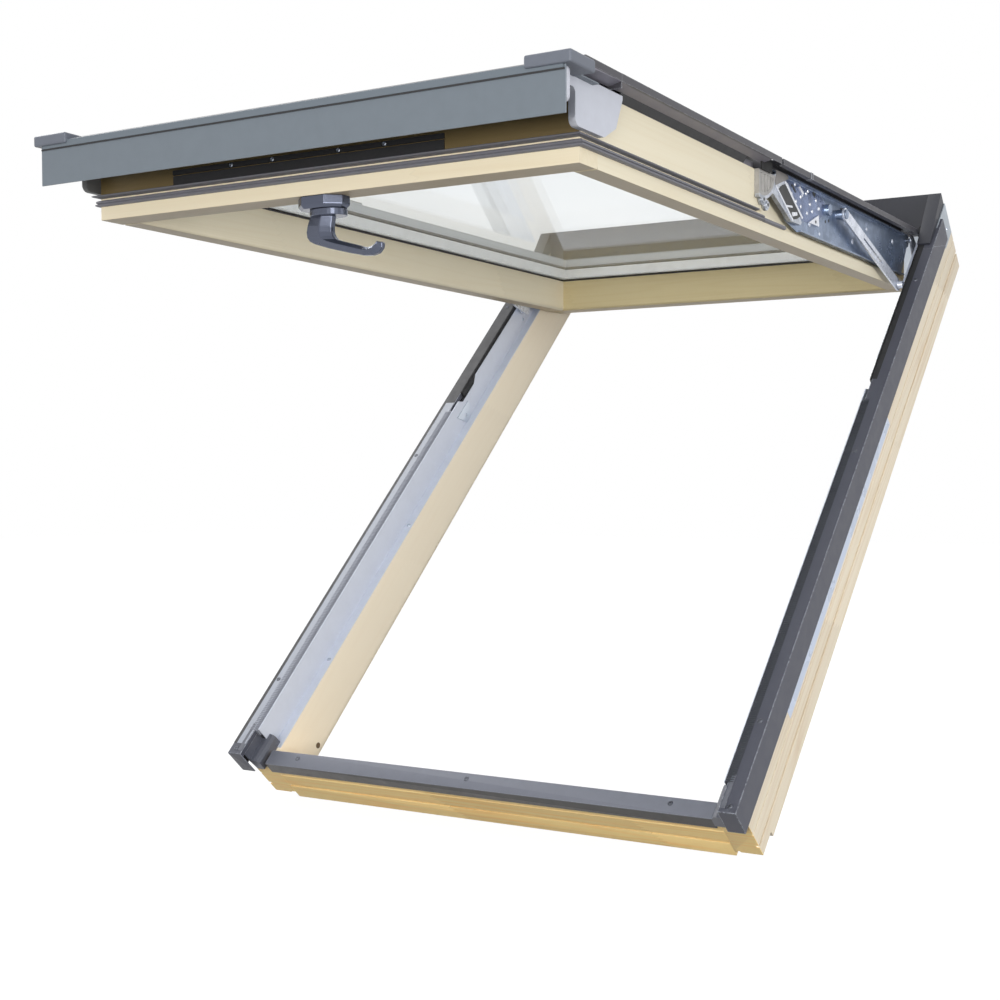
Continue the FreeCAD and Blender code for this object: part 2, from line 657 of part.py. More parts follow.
def pivot_cradle():
    """Ring that the pivot disc turns in, two friction knobs, and the slotted plate that
    joins it to the arm."""
    inner = SASH_HALF_WIDTH + CRADLE_OFFSET
    outer = SASH_HALF_WIDTH + DISC_THICKNESS
    seat = DISC_RADIUS + RUNNING_GAP
    reach = seat + CRADLE_WALL
    weld_low, plate_end = CRADLE_PLATE_LOW
    high = SASH_WOOD_TOP - SHEET - PIVOT_OUT
    ring = rod_x(reach, inner, outer, PIVOT_UP, PIVOT_OUT)
    above = box(inner, outer, PIVOT_UP - reach, PIVOT_UP + reach,
                SASH_WOOD_TOP + CRADLE_RISE, PIVOT_OUT + reach)
    before = box(inner, outer, PIVOT_UP - reach, PIVOT_UP - DISC_FLAT,
                 PIVOT_OUT - reach, PIVOT_OUT)
    plate = along_x([
        pivot_point(0, high),
        pivot_point(CRADLE_PLATE_TOP, high),
        pivot_point(plate_end, CRADLE_WALL - CRADLE_PLATE_DROP),
        pivot_point(plate_end - KNOB_RADIUS, -CRADLE_PLATE_DROP),
        pivot_point(weld_low, -CRADLE_PLATE_DROP),
        pivot_point(CRADLE_NECK, -CRADLE_NECK),
        pivot_point(0, -CRADLE_NECK),
    ], inner, outer)
    slot = along_x([pivot_point(*place) for place in CRADLE_SLOT], inner, outer)
    weld = along_x([
        pivot_point(CRADLE_PLATE_TOP - CRADLE_WELD, high),
        pivot_point(CRADLE_PLATE_TOP, high),
        pivot_point(plate_end, CRADLE_WALL - CRADLE_PLATE_DROP),
        pivot_point(plate_end - CRADLE_WELD, CRADLE_WALL - CRADLE_PLATE_DROP),
    ], ARM_INNER + ARM_SHEET, inner)
    knobs = [rod_x(KNOB_RADIUS, inner, outer, *pivot_point(*place)) for place in KNOB_PLACES]
    seats = [rod_x(KNOB_SEAT_RADIUS, inner, outer - KNOB_STEP, *pivot_point(*place))
             for place in KNOB_PLACES]
    bore = rod_x(seat, inner, outer, PIVOT_UP, PIVOT_OUT)
    body = ring.cut([above, before]).fuse([plate, weld] + knobs + seats)
    return body.removeSplitter().cut([bore, slot])


def strut():
    """Flat slotted bar from the arm's stud to the guide rail, drawn along Y."""
    outer = STRUT_INNER + STRUT_SHEET
    end = STRUT_UP + STRUT_LENGTH
    bar = box(STRUT_INNER, outer, STRUT_UP, end,
              STRUT_OUT - STRUT_HALF_WIDTH, STRUT_OUT + STRUT_HALF_WIDTH)
    round_a = rod_x(STRUT_HALF_WIDTH, STRUT_INNER, outer, STRUT_UP, STRUT_OUT)
    round_b = rod_x(STRUT_HALF_WIDTH, STRUT_INNER, outer, end, STRUT_OUT)
    roller = rod_x(STRUT_ROLLER_RADIUS, outer, outer + STRUT_ROLLER_LENGTH, end, STRUT_OUT)
    slot_middle = STRUT_UP + STRUT_LENGTH / 2
    slot = box(STRUT_INNER, outer, slot_middle - STRUT_SLOT_LENGTH / 2,
               slot_middle + STRUT_SLOT_LENGTH / 2,
               STRUT_OUT - STRUT_SLOT_HALF_WIDTH, STRUT_OUT + STRUT_SLOT_HALF_WIDTH)
    hole = rod_x(PIN_RADIUS + RUNNING_GAP, STRUT_INNER, outer, STRUT_UP, STRUT_OUT)
    flat = bar.fuse([round_a, round_b, roller]).removeSplitter().cut(slot).cut(hole)
    flat.rotate(vector(0, STRUT_UP, STRUT_OUT), AXIS_X, STRUT_ANGLE_OPEN)
    return flat


# Sash timber and glass

def sash_stile():
    """Right stile: full width below the pivot, cut back above it to make room for the arm."""
    outline = [
        (SASH_INNER, SASH_BACK),
        (SASH_HALF_WIDTH, SASH_BACK),
        (SASH_HALF_WIDTH, SASH_WOOD_TOP),
        (GLASS_HALF_WIDTH, SASH_WOOD_TOP),
        (GLASS_HALF_WIDTH, GLASS_BACK),
        (SASH_INNER, GLASS_BACK),
    ]
    low = SASH_BOTTOM + BOTTOM_RAIL_THICKNESS
    high = SASH_TOP - BOTTOM_RAIL_THICKNESS
    stile = along_y(outline, low, high)
    cut = box(UPPER_STILE_HALF_WIDTH, SASH_HALF_WIDTH, STILE_CUT_START, high,
              SASH_FLANGE_TOP, SASH_WOOD_TOP)
    groove = box(SASH_HALF_WIDTH - FIN_SEAT_DEPTH, SASH_HALF_WIDTH, low, STILE_CUT_START,
                 FIN_SEAT_LOW, FIN_SEAT_LOW + FIN_SEAT_WIDTH)
    stile = stile.cut([cut, groove])
    inner_edge = edges_where(stile, lambda edge: runs_along(edge, AXIS_Y)
                             and abs(edge.CenterOfMass.x - SASH_INNER) < 1e-6
                             and abs(edge.CenterOfMass.z - SASH_BACK) < 1e-6)
    return stile.makeFillet(INNER_EDGE_ROUND, inner_edge)


def sash_rail(edge_y, inward, half_width_above):
    """Sash rail from its outer edge towards the glass. Above the flange it may be narrower."""
    inner = edge_y + inward * BOTTOM_RAIL_THICKNESS
    rebate = inner - inward * REBATE_WIDTH
    outline = [
        (edge_y, SASH_BACK),
        (inner, SASH_BACK),
        (inner, GLASS_BACK),
        (rebate, GLASS_BACK),
        (rebate, SASH_WOOD_TOP),
        (edge_y, SASH_WOOD_TOP),
    ]
    rail = along_x(outline, -SASH_HALF_WIDTH, SASH_HALF_WIDTH)
    low = min(edge_y, inner)
    high = max(edge_y, inner)
    if half_width_above < SASH_HALF_WIDTH:
        cut = box(half_width_above, SASH_HALF_WIDTH, low, high, SASH_FLANGE_TOP, SASH_WOOD_TOP)
        rail = rail.cut([cut, to_left(cut)])
    inner_edge = edges_where(rail, lambda edge: runs_along(edge, AXIS_X)
                             and abs(edge.CenterOfMass.y - inner) < 1e-6
                             and abs(edge.CenterOfMass.z - SASH_BACK) < 1e-6)
    return rail.makeFillet(INNER_EDGE_ROUND, inner_edge)


def sash_bottom_rail():
    """Bottom rail with the fin seal's groove along its outer edge and round both ends."""
    rail = sash_rail(SASH_BOTTOM, 1, SASH_HALF_WIDTH)
    high = FIN_SEAT_LOW + FIN_SEAT_WIDTH
    inner = SASH_BOTTOM + BOTTOM_RAIL_THICKNESS
    groove = box(-SASH_HALF_WIDTH, SASH_HALF_WIDTH, SASH_BOTTOM, SASH_BOTTOM + FIN_SEAT_DEPTH,
                 FIN_SEAT_LOW, high)
    end = box(SASH_HALF_WIDTH - FIN_SEAT_DEPTH, SASH_HALF_WIDTH, SASH_BOTTOM, inner,
              FIN_SEAT_LOW, high)
    return rail.cut([groove, end, to_left(end)])


def sash_top_rail():
    return sash_rail(SASH_TOP, -1, UPPER_STILE_HALF_WIDTH)


def glass_unit():
    """Two panes with the edge spacer between them, as one sealed unit."""
    unit = box(-GLASS_HALF_WIDTH, GLASS_HALF_WIDTH, GLASS_BOTTOM, GLASS_TOP,
               GLASS_BACK, GLASS_FRONT)
    gap = box(-SASH_INNER, SASH_INNER, GLASS_BOTTOM + REBATE_WIDTH, GLASS_TOP - REBATE_WIDTH,
              GLASS_BACK + PANE_THICKNESS, GLASS_FRONT - PANE_THICKNESS)
    return unit.cut(gap)


def glazing_gasket():
    """Gasket on the outer pane, all round under the covers' inner edges."""
    outer = box(-GLASS_HALF_WIDTH, GLASS_HALF_WIDTH, GLASS_BOTTOM, GLASS_TOP,
                GLASS_FRONT, GASKET_TOP)
    hole = box(-COVER_INNER, COVER_INNER, COVER_BOTTOM, COVER_END, GLASS_FRONT, GASKET_TOP)
    return outer.cut(hole)


# Sash cladding

def side_cover():
    """Lower side cover, from the glass edge out over the guide rail's inner side, with a
    sloping lip below. Its outer edge runs on past the pivot as an ear."""
    under = COVER_TOP - SHEET
    leg = SASH_HALF_WIDTH - COVER_LEG_SETBACK
    lip = COVER_HALF_WIDTH - COVER_LIP
    outline = [
        (COVER_INNER, GASKET_TOP),
        (COVER_INNER, COVER_TOP),
        (COVER_HALF_WIDTH, COVER_TOP),
        (COVER_HALF_WIDTH, COVER_SIDE_LOW),
        (lip, COVER_SIDE_LOW - COVER_LIP_DROP),
        (lip, COVER_SIDE_LOW - COVER_LIP_DROP + SHEET),
        (COVER_HALF_WIDTH - SHEET, COVER_SIDE_LOW + SHEET),
        (COVER_HALF_WIDTH - SHEET, under),
        (leg, under),
        (leg, SASH_WOOD_TOP),
        (leg - SHEET, SASH_WOOD_TOP),
        (leg - SHEET, under),
        (COVER_INNER + SHEET, under),
        (COVER_INNER + SHEET, GASKET_TOP),
    ]
    cover = along_y(outline, COVER_BOTTOM, PIVOT_UP)
    ear_end = PIVOT_UP + COVER_EAR_LENGTH
    ear_top = box(COVER_HALF_WIDTH - COVER_EAR_WIDTH, COVER_HALF_WIDTH, PIVOT_UP, ear_end,
                  under, COVER_TOP)
    ear_side = box(COVER_HALF_WIDTH - SHEET, COVER_HALF_WIDTH, PIVOT_UP, ear_end,
                   COVER_SIDE_LOW, COVER_TOP)
    return cover.fuse([ear_top, ear_side]).removeSplitter()


def glazing_cover():
    """Upper glazing cover over the stile's narrow part, which turns with the sash."""
    outer = UPPER_STILE_HALF_WIDTH - SHEET
    under = GLAZING_COVER_TOP - SHEET
    outline = [
        (COVER_INNER, GASKET_TOP),
        (COVER_INNER, GLAZING_COVER_TOP),
        (outer, GLAZING_COVER_TOP),
        (outer, SASH_WOOD_TOP),
        (outer - SHEET, SASH_WOOD_TOP),
        (outer - SHEET, under),
        (COVER_INNER + SHEET, under),
        (COVER_INNER + SHEET, GASKET_TOP),
    ]
    return along_y(outline, PIVOT_UP, COVER_END)


def top_cover():
    """Cover over the sash's top rail, down to the glass."""
    outer = SASH_TOP - SHEET
    inner = COVER_END
    under = GLAZING_COVER_TOP - SHEET
    outline = [
        (inner, GASKET_TOP),
        (inner, GLAZING_COVER_TOP),
        (outer, GLAZING_COVER_TOP),
        (outer, SASH_WOOD_TOP),
        (outer - SHEET, SASH_WOOD_TOP),
        (outer - SHEET, under),
        (inner + SHEET, under),
        (inner + SHEET, GASKET_TOP),
    ]
    half = UPPER_STILE_HALF_WIDTH - SHEET
    return along_x(outline, -half, half)


def cover_slope():
    """Lower and upper end of the bottom cover's sloping outer face."""
    front = -FASCIA_FRONT - SHEET
    return (front, COVER_FRONT_TOP), (front + COVER_SLOPE_LENGTH, COVER_TOP)


def bottom_cover():
    """Cover over the bottom rail: level beside the glass, then sloping down to a lip in front
    of the fascia, with a low side wall at each end."""
    inner = COVER_BOTTOM
    under = COVER_TOP - SHEET
    low_end, high_end = cover_slope()
    front = low_end[0]
    lip = COVER_FRONT_TOP - COVER_FRONT_LIP
    outline = [
        (inner, GASKET_TOP),
        (inner, COVER_TOP),
        high_end,
        low_end,
        (front, lip),
        (front + SHEET, lip),
        (front + SHEET, COVER_FRONT_TOP - SHEET),
        (high_end[0], under),
        (inner - SHEET, under),
        (inner - SHEET, GASKET_TOP),
    ]
    cover = along_x(outline, -COVER_HALF_WIDTH, COVER_HALF_WIDTH)
    wall_rise = COVER_SIDE_LOW - COVER_FRONT_TOP
    wall_start = front + COVER_SLOPE_LENGTH * wall_rise / COVER_SLOPE_DROP
    wall = along_x([
        (inner, COVER_SIDE_LOW),
        (inner, COVER_TOP),
        high_end,
        (wall_start, COVER_SIDE_LOW),
    ], COVER_HALF_WIDTH - SHEET, COVER_HALF_WIDTH)
    return cover.fuse([wall, to_left(wall)]).removeSplitter()


def sash_fascia():
    """Deep front plate of the sash, with a return that lies on the bottom rail."""
    front = -FASCIA_FRONT
    low = SASH_WOOD_TOP - FASCIA_DROP
    back = front + SHEET + FASCIA_RETURN
    outline = [
        (front, low),
        (front, SASH_WOOD_TOP + SHEET),
        (back, SASH_WOOD_TOP + SHEET),
        (back, SASH_WOOD_TOP),
        (front + SHEET, SASH_WOOD_TOP),
        (front + SHEET, low),
    ]
    plate = along_x(outline, -FASCIA_HALF_WIDTH, FASCIA_HALF_WIDTH)
    side_cut = box(COVER_HALF_WIDTH - COVER_LEG_SETBACK, FASCIA_HALF_WIDTH, front + SHEET, back,
                   SASH_WOOD_TOP, SASH_WOOD_TOP + SHEET)
    return plate.cut([side_cut, to_left(side_cut)])


def corner_cap():
    """Moulded cap over the end of the bottom cover's slope, with an ear in front of the side
    cladding."""
    low_end, high_end = cover_slope()
    back = low_end[0]
    front = back - CAP_THICKNESS
    low = COVER_FRONT_TOP - COVER_FRONT_LIP
    brow = low + CAP_FRONT_HEIGHT
    shoulder = front + CAP_SLANT
    ear_back = -FASCIA_FRONT
    body = along_x([
        (back, low),
        low_end,
        high_end,
        (high_end[0] - CAP_TOP_LENGTH, COVER_TOP),
        (shoulder, brow + CAP_SLANT),
        (front, brow),
        (front, low),
    ], CAP_HALF_WIDTH - CAP_WIDTH, COVER_HALF_WIDTH)
    ear = along_x([
        (front, low + CAP_CORNER),
        (front, brow),
        (ear_back, brow + ear_back - front),
        (ear_back, low + CAP_CORNER),
    ], COVER_HALF_WIDTH, CAP_HALF_WIDTH)
    tips = edges_where(ear, lambda edge: runs_along(edge, AXIS_Y)
                       and edge.CenterOfMass.x > CAP_HALF_WIDTH - 1e-6)
    return body.fuse(ear.makeFillet(CAP_CORNER, tips)).removeSplitter()


def end_bracket():
    """Moulded plate on the stile's foot, with an arm over the frame's bottom cladding and a
    wing behind the fascia."""
    inner = SASH_HALF_WIDTH
    outer = inner + END_BRACKET_THICKNESS
    low = SASH_WOOD_TOP - END_BRACKET_DROP
    bridge = BOTTOM_CLADDING_TOP + MOVING_GAP
    start = END_BRACKET_START
    end = start + END_BRACKET_LENGTH
    back_step, back_rise = END_BRACKET_SLANT
    fascia_back = -FASCIA_FRONT + SHEET
    wing_back = -BLOCK_FOOT - MOVING_GAP
    plate = along_x([
        (fascia_back, SASH_WOOD_TOP),
        (fascia_back, bridge),
        (start - END_BRACKET_NOTCH, bridge),
        (start, bridge - END_BRACKET_NOTCH),
        (start, low),
        (end, low),
        (end + back_step, low + back_rise),
        (end + back_step + END_BRACKET_TAIL, SASH_WOOD_TOP),
    ], inner, outer)
    corners = edges_where(plate, lambda edge: runs_along(edge, AXIS_X)
                          and edge.CenterOfMass.z < low + 1e-6)
    plate = plate.makeFillet(END_BRACKET_ROUND, corners)
    upper = box(inner, outer, start, end + back_step + END_BRACKET_TAIL,
                SASH_WOOD_TOP, SASH_WOOD_TOP + END_BRACKET_RISE)
    upper = upper.cut(box(inner, outer, start, fascia_back + FASCIA_RETURN,
                          SASH_WOOD_TOP, SASH_WOOD_TOP + SHEET))
    wing = box(outer, FASCIA_HALF_WIDTH, fascia_back, wing_back,
               SASH_WOOD_TOP - END_WING_DROP, SASH_WOOD_TOP)
    tips = edges_where(wing, lambda edge: runs_along(edge, AXIS_Y)
                       and edge.CenterOfMass.x > outer + 1e-6)
    return plate.fuse([upper, wing.makeFillet(END_WING_ROUND, tips)]).removeSplitter()


def sash_seals():
    """Two seals along the bottom rail and up both stiles: a band beside the flange, which
    runs on past the pivot, and a fin in the groove above it."""
    end = PIVOT_UP - MOVING_GAP
    low = SASH_FLANGE_TOP
    side = box(SASH_HALF_WIDTH, SASH_HALF_WIDTH + SEAL_STEP, SASH_BOTTOM, end,
               low, low + SEAL_BAND)
    bottom = box(-SASH_HALF_WIDTH - SEAL_STEP, SASH_HALF_WIDTH + SEAL_STEP,
                 SASH_BOTTOM - BOTTOM_SEAL_STEP, SASH_BOTTOM, low, low + SEAL_BAND)
    upper = box(UPPER_STILE_HALF_WIDTH, SASH_HALF_WIDTH + SEAL_STEP, STILE_CUT_START,
                PIVOT_UP + BAND_PAST_PIVOT, low, low + SEAL_BAND)
    link = box(SASH_HALF_WIDTH, SASH_HALF_WIDTH + SEAL_STEP, end, STILE_CUT_START,
               low, low + SEAL_BAND)
    band = bottom.fuse([side, link, upper, to_left(side), to_left(link), to_left(upper)])
    band = band.removeSplitter()
    fin_outer = SASH_HALF_WIDTH + FIN_STEP
    fin_bottom = SASH_BOTTOM - FIN_STEP
    fin_high = FIN_SEAT_LOW + FIN_SEAT_WIDTH
    whole = box(-fin_outer, fin_outer, fin_bottom, end, FIN_SEAT_LOW, fin_high)
    middle = box(FIN_SEAT_DEPTH - SASH_HALF_WIDTH, SASH_HALF_WIDTH - FIN_SEAT_DEPTH,
                 SASH_BOTTOM + FIN_SEAT_DEPTH, end, FIN_SEAT_LOW, fin_high)
    return Part.makeCompound([band, whole.cut(middle)])


def vent_strip():
    low = SASH_WOOD_TOP - VENT_DROP
    return box(VENT_CENTRE - VENT_HALF_LENGTH, VENT_CENTRE + VENT_HALF_LENGTH,
               SASH_BOTTOM - VENT_THICKNESS, SASH_BOTTOM, low, low + VENT_DEPTH)


def pivot_disc():
    """Part of a disc on the stile that turns in the arm's cradle. Its outer face is hollowed
    inside a rim and crossed by ribs."""
    inner = SASH_HALF_WIDTH
    outer = inner + DISC_THICKNESS
    left = PIVOT_UP - DISC_FLAT
    disc = rod_x(DISC_RADIUS, inner, outer, PIVOT_UP, PIVOT_OUT)
    above = box(inner, outer, PIVOT_UP - DISC_RADIUS, PIVOT_UP + DISC_RADIUS,
                SASH_WOOD_TOP, PIVOT_OUT + DISC_RADIUS)
    before = box(inner, outer, PIVOT_UP - DISC_RADIUS, left,
                 PIVOT_OUT - DISC_RADIUS, PIVOT_OUT)
    past_wood = box(inner, inner + CRADLE_OFFSET, STILE_CUT_START, PIVOT_UP + DISC_RADIUS,
                    PIVOT_OUT - DISC_RADIUS, PIVOT_OUT)
    hollow = rod_x(DISC_RADIUS - DISC_RIM, outer - DISC_RIB_DEPTH, outer, PIVOT_UP, PIVOT_OUT)
    hollow = hollow.cut([
        box(outer - DISC_RIB_DEPTH, outer, left - DISC_RADIUS, left + DISC_RIM,
            PIVOT_OUT - DISC_RADIUS, PIVOT_OUT + DISC_RADIUS),
        box(outer - DISC_RIB_DEPTH, outer, left, PIVOT_UP + DISC_RADIUS,
            SASH_WOOD_TOP - DISC_RIM, PIVOT_OUT + DISC_RADIUS),
    ])
    pitch = (DISC_RADIUS + DISC_FLAT - 2 * DISC_RIM) / (DISC_RIB_COUNT + 1)
    middles = [left + DISC_RIM + pitch * (index + 1) for index in range(DISC_RIB_COUNT)]
    ribs = [box(outer - DISC_RIB_DEPTH, outer, middle - DISC_RIB_WIDTH / 2,
                middle + DISC_RIB_WIDTH / 2, PIVOT_OUT - DISC_RADIUS, PIVOT_OUT)
            for middle in middles]
    return disc.cut([above, before, past_wood]).cut(hollow.cut(ribs))


# Handle

def handle_base():
    """Plate on the room side of the bottom rail, with facets along both long sides."""
    start = HANDLE_SIDE - BASE_HALF_LENGTH
    end = HANDLE_SIDE + BASE_HALF_LENGTH
    outline = [
        (start, HANDLE_UP - BASE_END_HALF_WIDTH),
        (start + BASE_FACET, HANDLE_UP - BASE_HALF_WIDTH),
        (end - BASE_FACET, HANDLE_UP - BASE_HALF_WIDTH),
        (end, HANDLE_UP - BASE_END_HALF_WIDTH),
        (end, HANDLE_UP + BASE_END_HALF_WIDTH),
        (end - BASE_FACET, HANDLE_UP + BASE_HALF_WIDTH),
        (start + BASE_FACET, HANDLE_UP + BASE_HALF_WIDTH),
        (start, HANDLE_UP + BASE_END_HALF_WIDTH),
    ]
    return along_z(outline, SASH_BACK - BASE_THICKNESS, SASH_BACK)


def handle_lever():
    """Wide stem that bends into a flat grip to the right with an upturned end."""
    head = SASH_BACK - BASE_THICKNESS - SEAT_GAP
    stem_low = head - STEM_DEPTH
    grip_low = head - GRIP_DEPTH
    left = HANDLE_SIDE + STEM_LEFT
    right = HANDLE_SIDE + STEM_RIGHT
    end = HANDLE_SIDE + GRIP_END
    outline = [
        (left + LEVER_HALF_WIDTH, head),
        (HANDLE_SIDE + HEAD_RIGHT - HEAD_THICKNESS, head),
        (HANDLE_SIDE + HEAD_RIGHT, head - HEAD_THICKNESS / 2),
        (HANDLE_SIDE + HEAD_RIGHT, head - HEAD_THICKNESS),
        (right, head - HEAD_THICKNESS),
        (right, stem_low - GRIP_THICKNESS),
        (end - GRIP_HOOK, grip_low + GRIP_THICKNESS),
        (end - GRIP_HOOK / 2, grip_low + GRIP_THICKNESS + GRIP_HOOK),
        (end, grip_low + GRIP_THICKNESS + GRIP_HOOK / 2),
        (end, grip_low + GRIP_THICKNESS / 2),
        (end - GRIP_HOOK, grip_low),
        (left, stem_low),
    ]
    lever = along_y(outline, HANDLE_UP - LEVER_HALF_WIDTH, HANDLE_UP + LEVER_HALF_WIDTH)
    heel = edges_where(lever, lambda edge: runs_along(edge, AXIS_Y)
                       and abs(edge.CenterOfMass.x - left) < 1e-6)
    lever = lever.makeFillet(STEM_ROUND, heel)
    bend = edges_where(lever, lambda edge: runs_along(edge, AXIS_Y)
                       and abs(edge.CenterOfMass.x - right) < 1e-6
                       and edge.CenterOfMass.z < stem_low)
    return lever.makeFillet(GRIP_INNER_ROUND, bend)


# Placing and writing

def with_sash_swing(shape):
    swung = shape.copy()
    swung.rotate(vector(0, HINGE_UP, HINGE_OUT), AXIS_X, -SASH_OPENING)
    return swung


def on_the_roof(shape):
    """Tilt to the roof pitch, with the origin on the bottom rail's back face."""
    placed = shape.copy()
    placed.translate(vector(0, -(RAIL_THICKNESS - LINING_LIP) / 2, 0))
    placed.rotate(ORIGIN, AXIS_X, ROOF_PITCH)
    return placed


def left_and_right(name, shape):
    return {"left_" + name: to_left(shape), "right_" + name: shape}


FIXED = {
    "frame_bottom_rail": frame_bottom_rail(),
    "frame_top_rail": frame_top_rail(),
    **left_and_right("post", frame_post()),
    "bottom_cladding": bottom_cladding(),
    **left_and_right("cladding", side_cladding()),
    **left_and_right("guide_rail", guide_rail()),
    "frame_seals": both(frame_seal()),
    "guide_springs": both(guide_spring()),
    "spring_latches": both(spring_latch()),
    "corner_blocks": both(corner_block()),
    "side_strips": both(side_strip()),
    "top_hood": top_hood(),
    "hood_ends": both(hood_end()),
    "hinge_brackets": both(hinge_bracket()),
}

SWUNG = {
    **left_and_right("arm", arm()),
    **left_and_right("arm_cover", arm_cover()),
    "pivot_cradles": both(pivot_cradle()),
    **left_and_right("strut", strut()),
    "sash_bottom_rail": sash_bottom_rail(),
    "sash_top_rail": sash_top_rail(),
    **left_and_right("stile", sash_stile()),
    "glass_unit": glass_unit(),
    "glazing_gasket": glazing_gasket(),
    **left_and_right("side_cover", side_cover()),
    "glazing_covers": both(glazing_cover()),
    "top_cover": top_cover(),
    "bottom_cover": bottom_cover(),
    "sash_fascia": sash_fascia(),
    "corner_caps": both(corner_cap()),
    "end_brackets": both(end_bracket()),
    "sash_seals": sash_seals(),
    "vent_strip": vent_strip(),
    "pivot_discs": both(pivot_disc()),
    "handle_base": handle_base(),
    "handle_lever": handle_lever(),
}

os.makedirs("parts", exist_ok=True)
for name, shape in FIXED.items():
    on_the_roof(shape).exportStep("parts/" + name + ".step")
for name, shape in SWUNG.items():
    on_the_roof(with_sash_swing(shape)).exportStep("parts/" + name + ".step")
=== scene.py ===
import math

import bmesh
import bpy
from mathutils import Matrix, Vector


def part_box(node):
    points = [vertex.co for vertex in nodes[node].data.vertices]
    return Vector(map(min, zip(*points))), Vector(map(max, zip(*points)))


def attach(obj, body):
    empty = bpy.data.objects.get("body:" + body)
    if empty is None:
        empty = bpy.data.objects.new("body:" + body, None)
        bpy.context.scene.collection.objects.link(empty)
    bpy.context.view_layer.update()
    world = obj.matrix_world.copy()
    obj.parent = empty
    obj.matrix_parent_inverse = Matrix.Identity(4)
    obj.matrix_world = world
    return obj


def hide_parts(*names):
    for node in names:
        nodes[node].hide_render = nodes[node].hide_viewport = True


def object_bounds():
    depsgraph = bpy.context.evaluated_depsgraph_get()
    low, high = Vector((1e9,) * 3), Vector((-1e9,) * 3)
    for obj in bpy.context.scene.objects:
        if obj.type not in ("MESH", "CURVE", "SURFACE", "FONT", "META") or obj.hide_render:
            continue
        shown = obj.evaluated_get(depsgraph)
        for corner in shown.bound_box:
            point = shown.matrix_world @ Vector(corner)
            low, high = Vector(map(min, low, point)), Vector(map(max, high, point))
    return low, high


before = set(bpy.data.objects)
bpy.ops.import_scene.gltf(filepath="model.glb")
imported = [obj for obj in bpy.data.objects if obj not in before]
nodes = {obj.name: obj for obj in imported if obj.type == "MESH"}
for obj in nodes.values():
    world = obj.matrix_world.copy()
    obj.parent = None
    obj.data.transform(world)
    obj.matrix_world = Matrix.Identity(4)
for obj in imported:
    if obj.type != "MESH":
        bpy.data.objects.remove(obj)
cad_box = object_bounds()
scene = bpy.context.scene

# Studio
# A pale floor under the window's lower edge, an even white room and three soft lamps. The
# camera stands low in front of the window's right side, with its lens raised and shifted.
CAMERA_PLACE = Vector((1.06733, -1.60489, 0.45072))
CAMERA_AIM = Vector((-0.470551, 0.881402, -0.041384))
CAMERA_ROLL = math.radians(0.09)
CAMERA_LENS = 51.298
CAMERA_SENSOR = 36.0
CAMERA_SHIFT = (-0.14048, 0.04230)
FLOOR_HALF_SIZE = 9.0
FLOOR_CLEARANCE = 0.0015
FLOOR_GREY = (0.42, 0.42, 0.42)
FLOOR_GLOW = 0.94
ROOM_TINT = (0.96, 0.98, 1.0)
ROOM_LIGHT = 0.60
LAMP_TARGET = Vector((0.0, 0.2, 0.45))
LAMPS = (
    # name, place, diameter, power, tint
    ("front_lamp", (0.8, -3.2, 0.45), 1.8, 74.0, (1.0, 0.985, 0.95)),
    ("right_lamp", (3.3, -0.7, 0.40), 1.5, 54.0, (1.0, 0.995, 0.98)),
    ("top_lamp", (-2.3, 0.05, 2.7), 2.2, 40.0, (1.0, 1.0, 1.0)),
)


def srgb(colour):
    """Linear colour with full alpha from display values."""
    linear = [v / 12.92 if v <= 0.04045 else ((v + 0.055) / 1.055) ** 2.4 for v in colour]
    return (*linear, 1.0)


def new_object(name, data):
    made = bpy.data.objects.new(name, data)
    scene.collection.objects.link(made)
    return made


def feed(tree, node, inputs):
    """Link or set a node's inputs, from pairs of a socket and an output or plain value."""
    for socket, value in dict(inputs).items():
        if isinstance(value, bpy.types.NodeSocket):
            tree.links.new(value, node.inputs[socket])
        else:
            node.inputs[socket].default_value = value


def add_node(tree, kind, inputs=(), **settings):
    node = tree.nodes.new(kind)
    for label, value in settings.items():
        setattr(node, label, value)
    feed(tree, node, inputs)
    return node


def output_of(tree, kind, inputs=(), **settings):
    """First output of a new node."""
    return add_node(tree, kind, inputs, **settings).outputs[0]


def sum_up(tree, operation, *values):
    """Math node on one, two or three values."""
    return output_of(tree, "ShaderNodeMath", enumerate(values), operation=operation)


def seen_directly(tree):
    """1 where the camera, a mirror or a pane of glass looks straight at the surface."""
    path = add_node(tree, "ShaderNodeLightPath").outputs
    first = sum_up(tree, "MAXIMUM", path["Is Camera Ray"], path["Is Glossy Ray"])
    return sum_up(tree, "MAXIMUM", first, path["Is Transmission Ray"])


def seen_or_lit(tree, lit, seen, end):
    """One shader for the light on the object, and another for the eye."""
    both = output_of(tree, "ShaderNodeMixShader", enumerate((seen_directly(tree), lit, seen)))
    add_node(tree, end, {0: both})


camera = new_object("camera", bpy.data.cameras.new("camera"))
camera.location = CAMERA_PLACE
camera_turn = CAMERA_AIM.to_track_quat("-Z", "Y").to_matrix()
camera.rotation_euler = (camera_turn @ Matrix.Rotation(CAMERA_ROLL, 3, "Z")).to_euler()
camera.data.lens = CAMERA_LENS
camera.data.sensor_width = CAMERA_SENSOR
camera.data.shift_x, camera.data.shift_y = CAMERA_SHIFT
scene.camera = camera
scene.view_settings.view_transform = "Standard"

scene.world = bpy.data.worlds.new("white_room")
scene.world.use_nodes = True
tree = scene.world.node_tree
tree.nodes.clear()
room_light = output_of(tree, "ShaderNodeBackground",
                       {"Color": srgb(ROOM_TINT), "Strength": ROOM_LIGHT})
room_white = output_of(tree, "ShaderNodeBackground",
                       {"Color": (1.0, 1.0, 1.0, 1.0), "Strength": 1.0})
seen_or_lit(tree, room_light, room_white, "ShaderNodeOutputWorld")

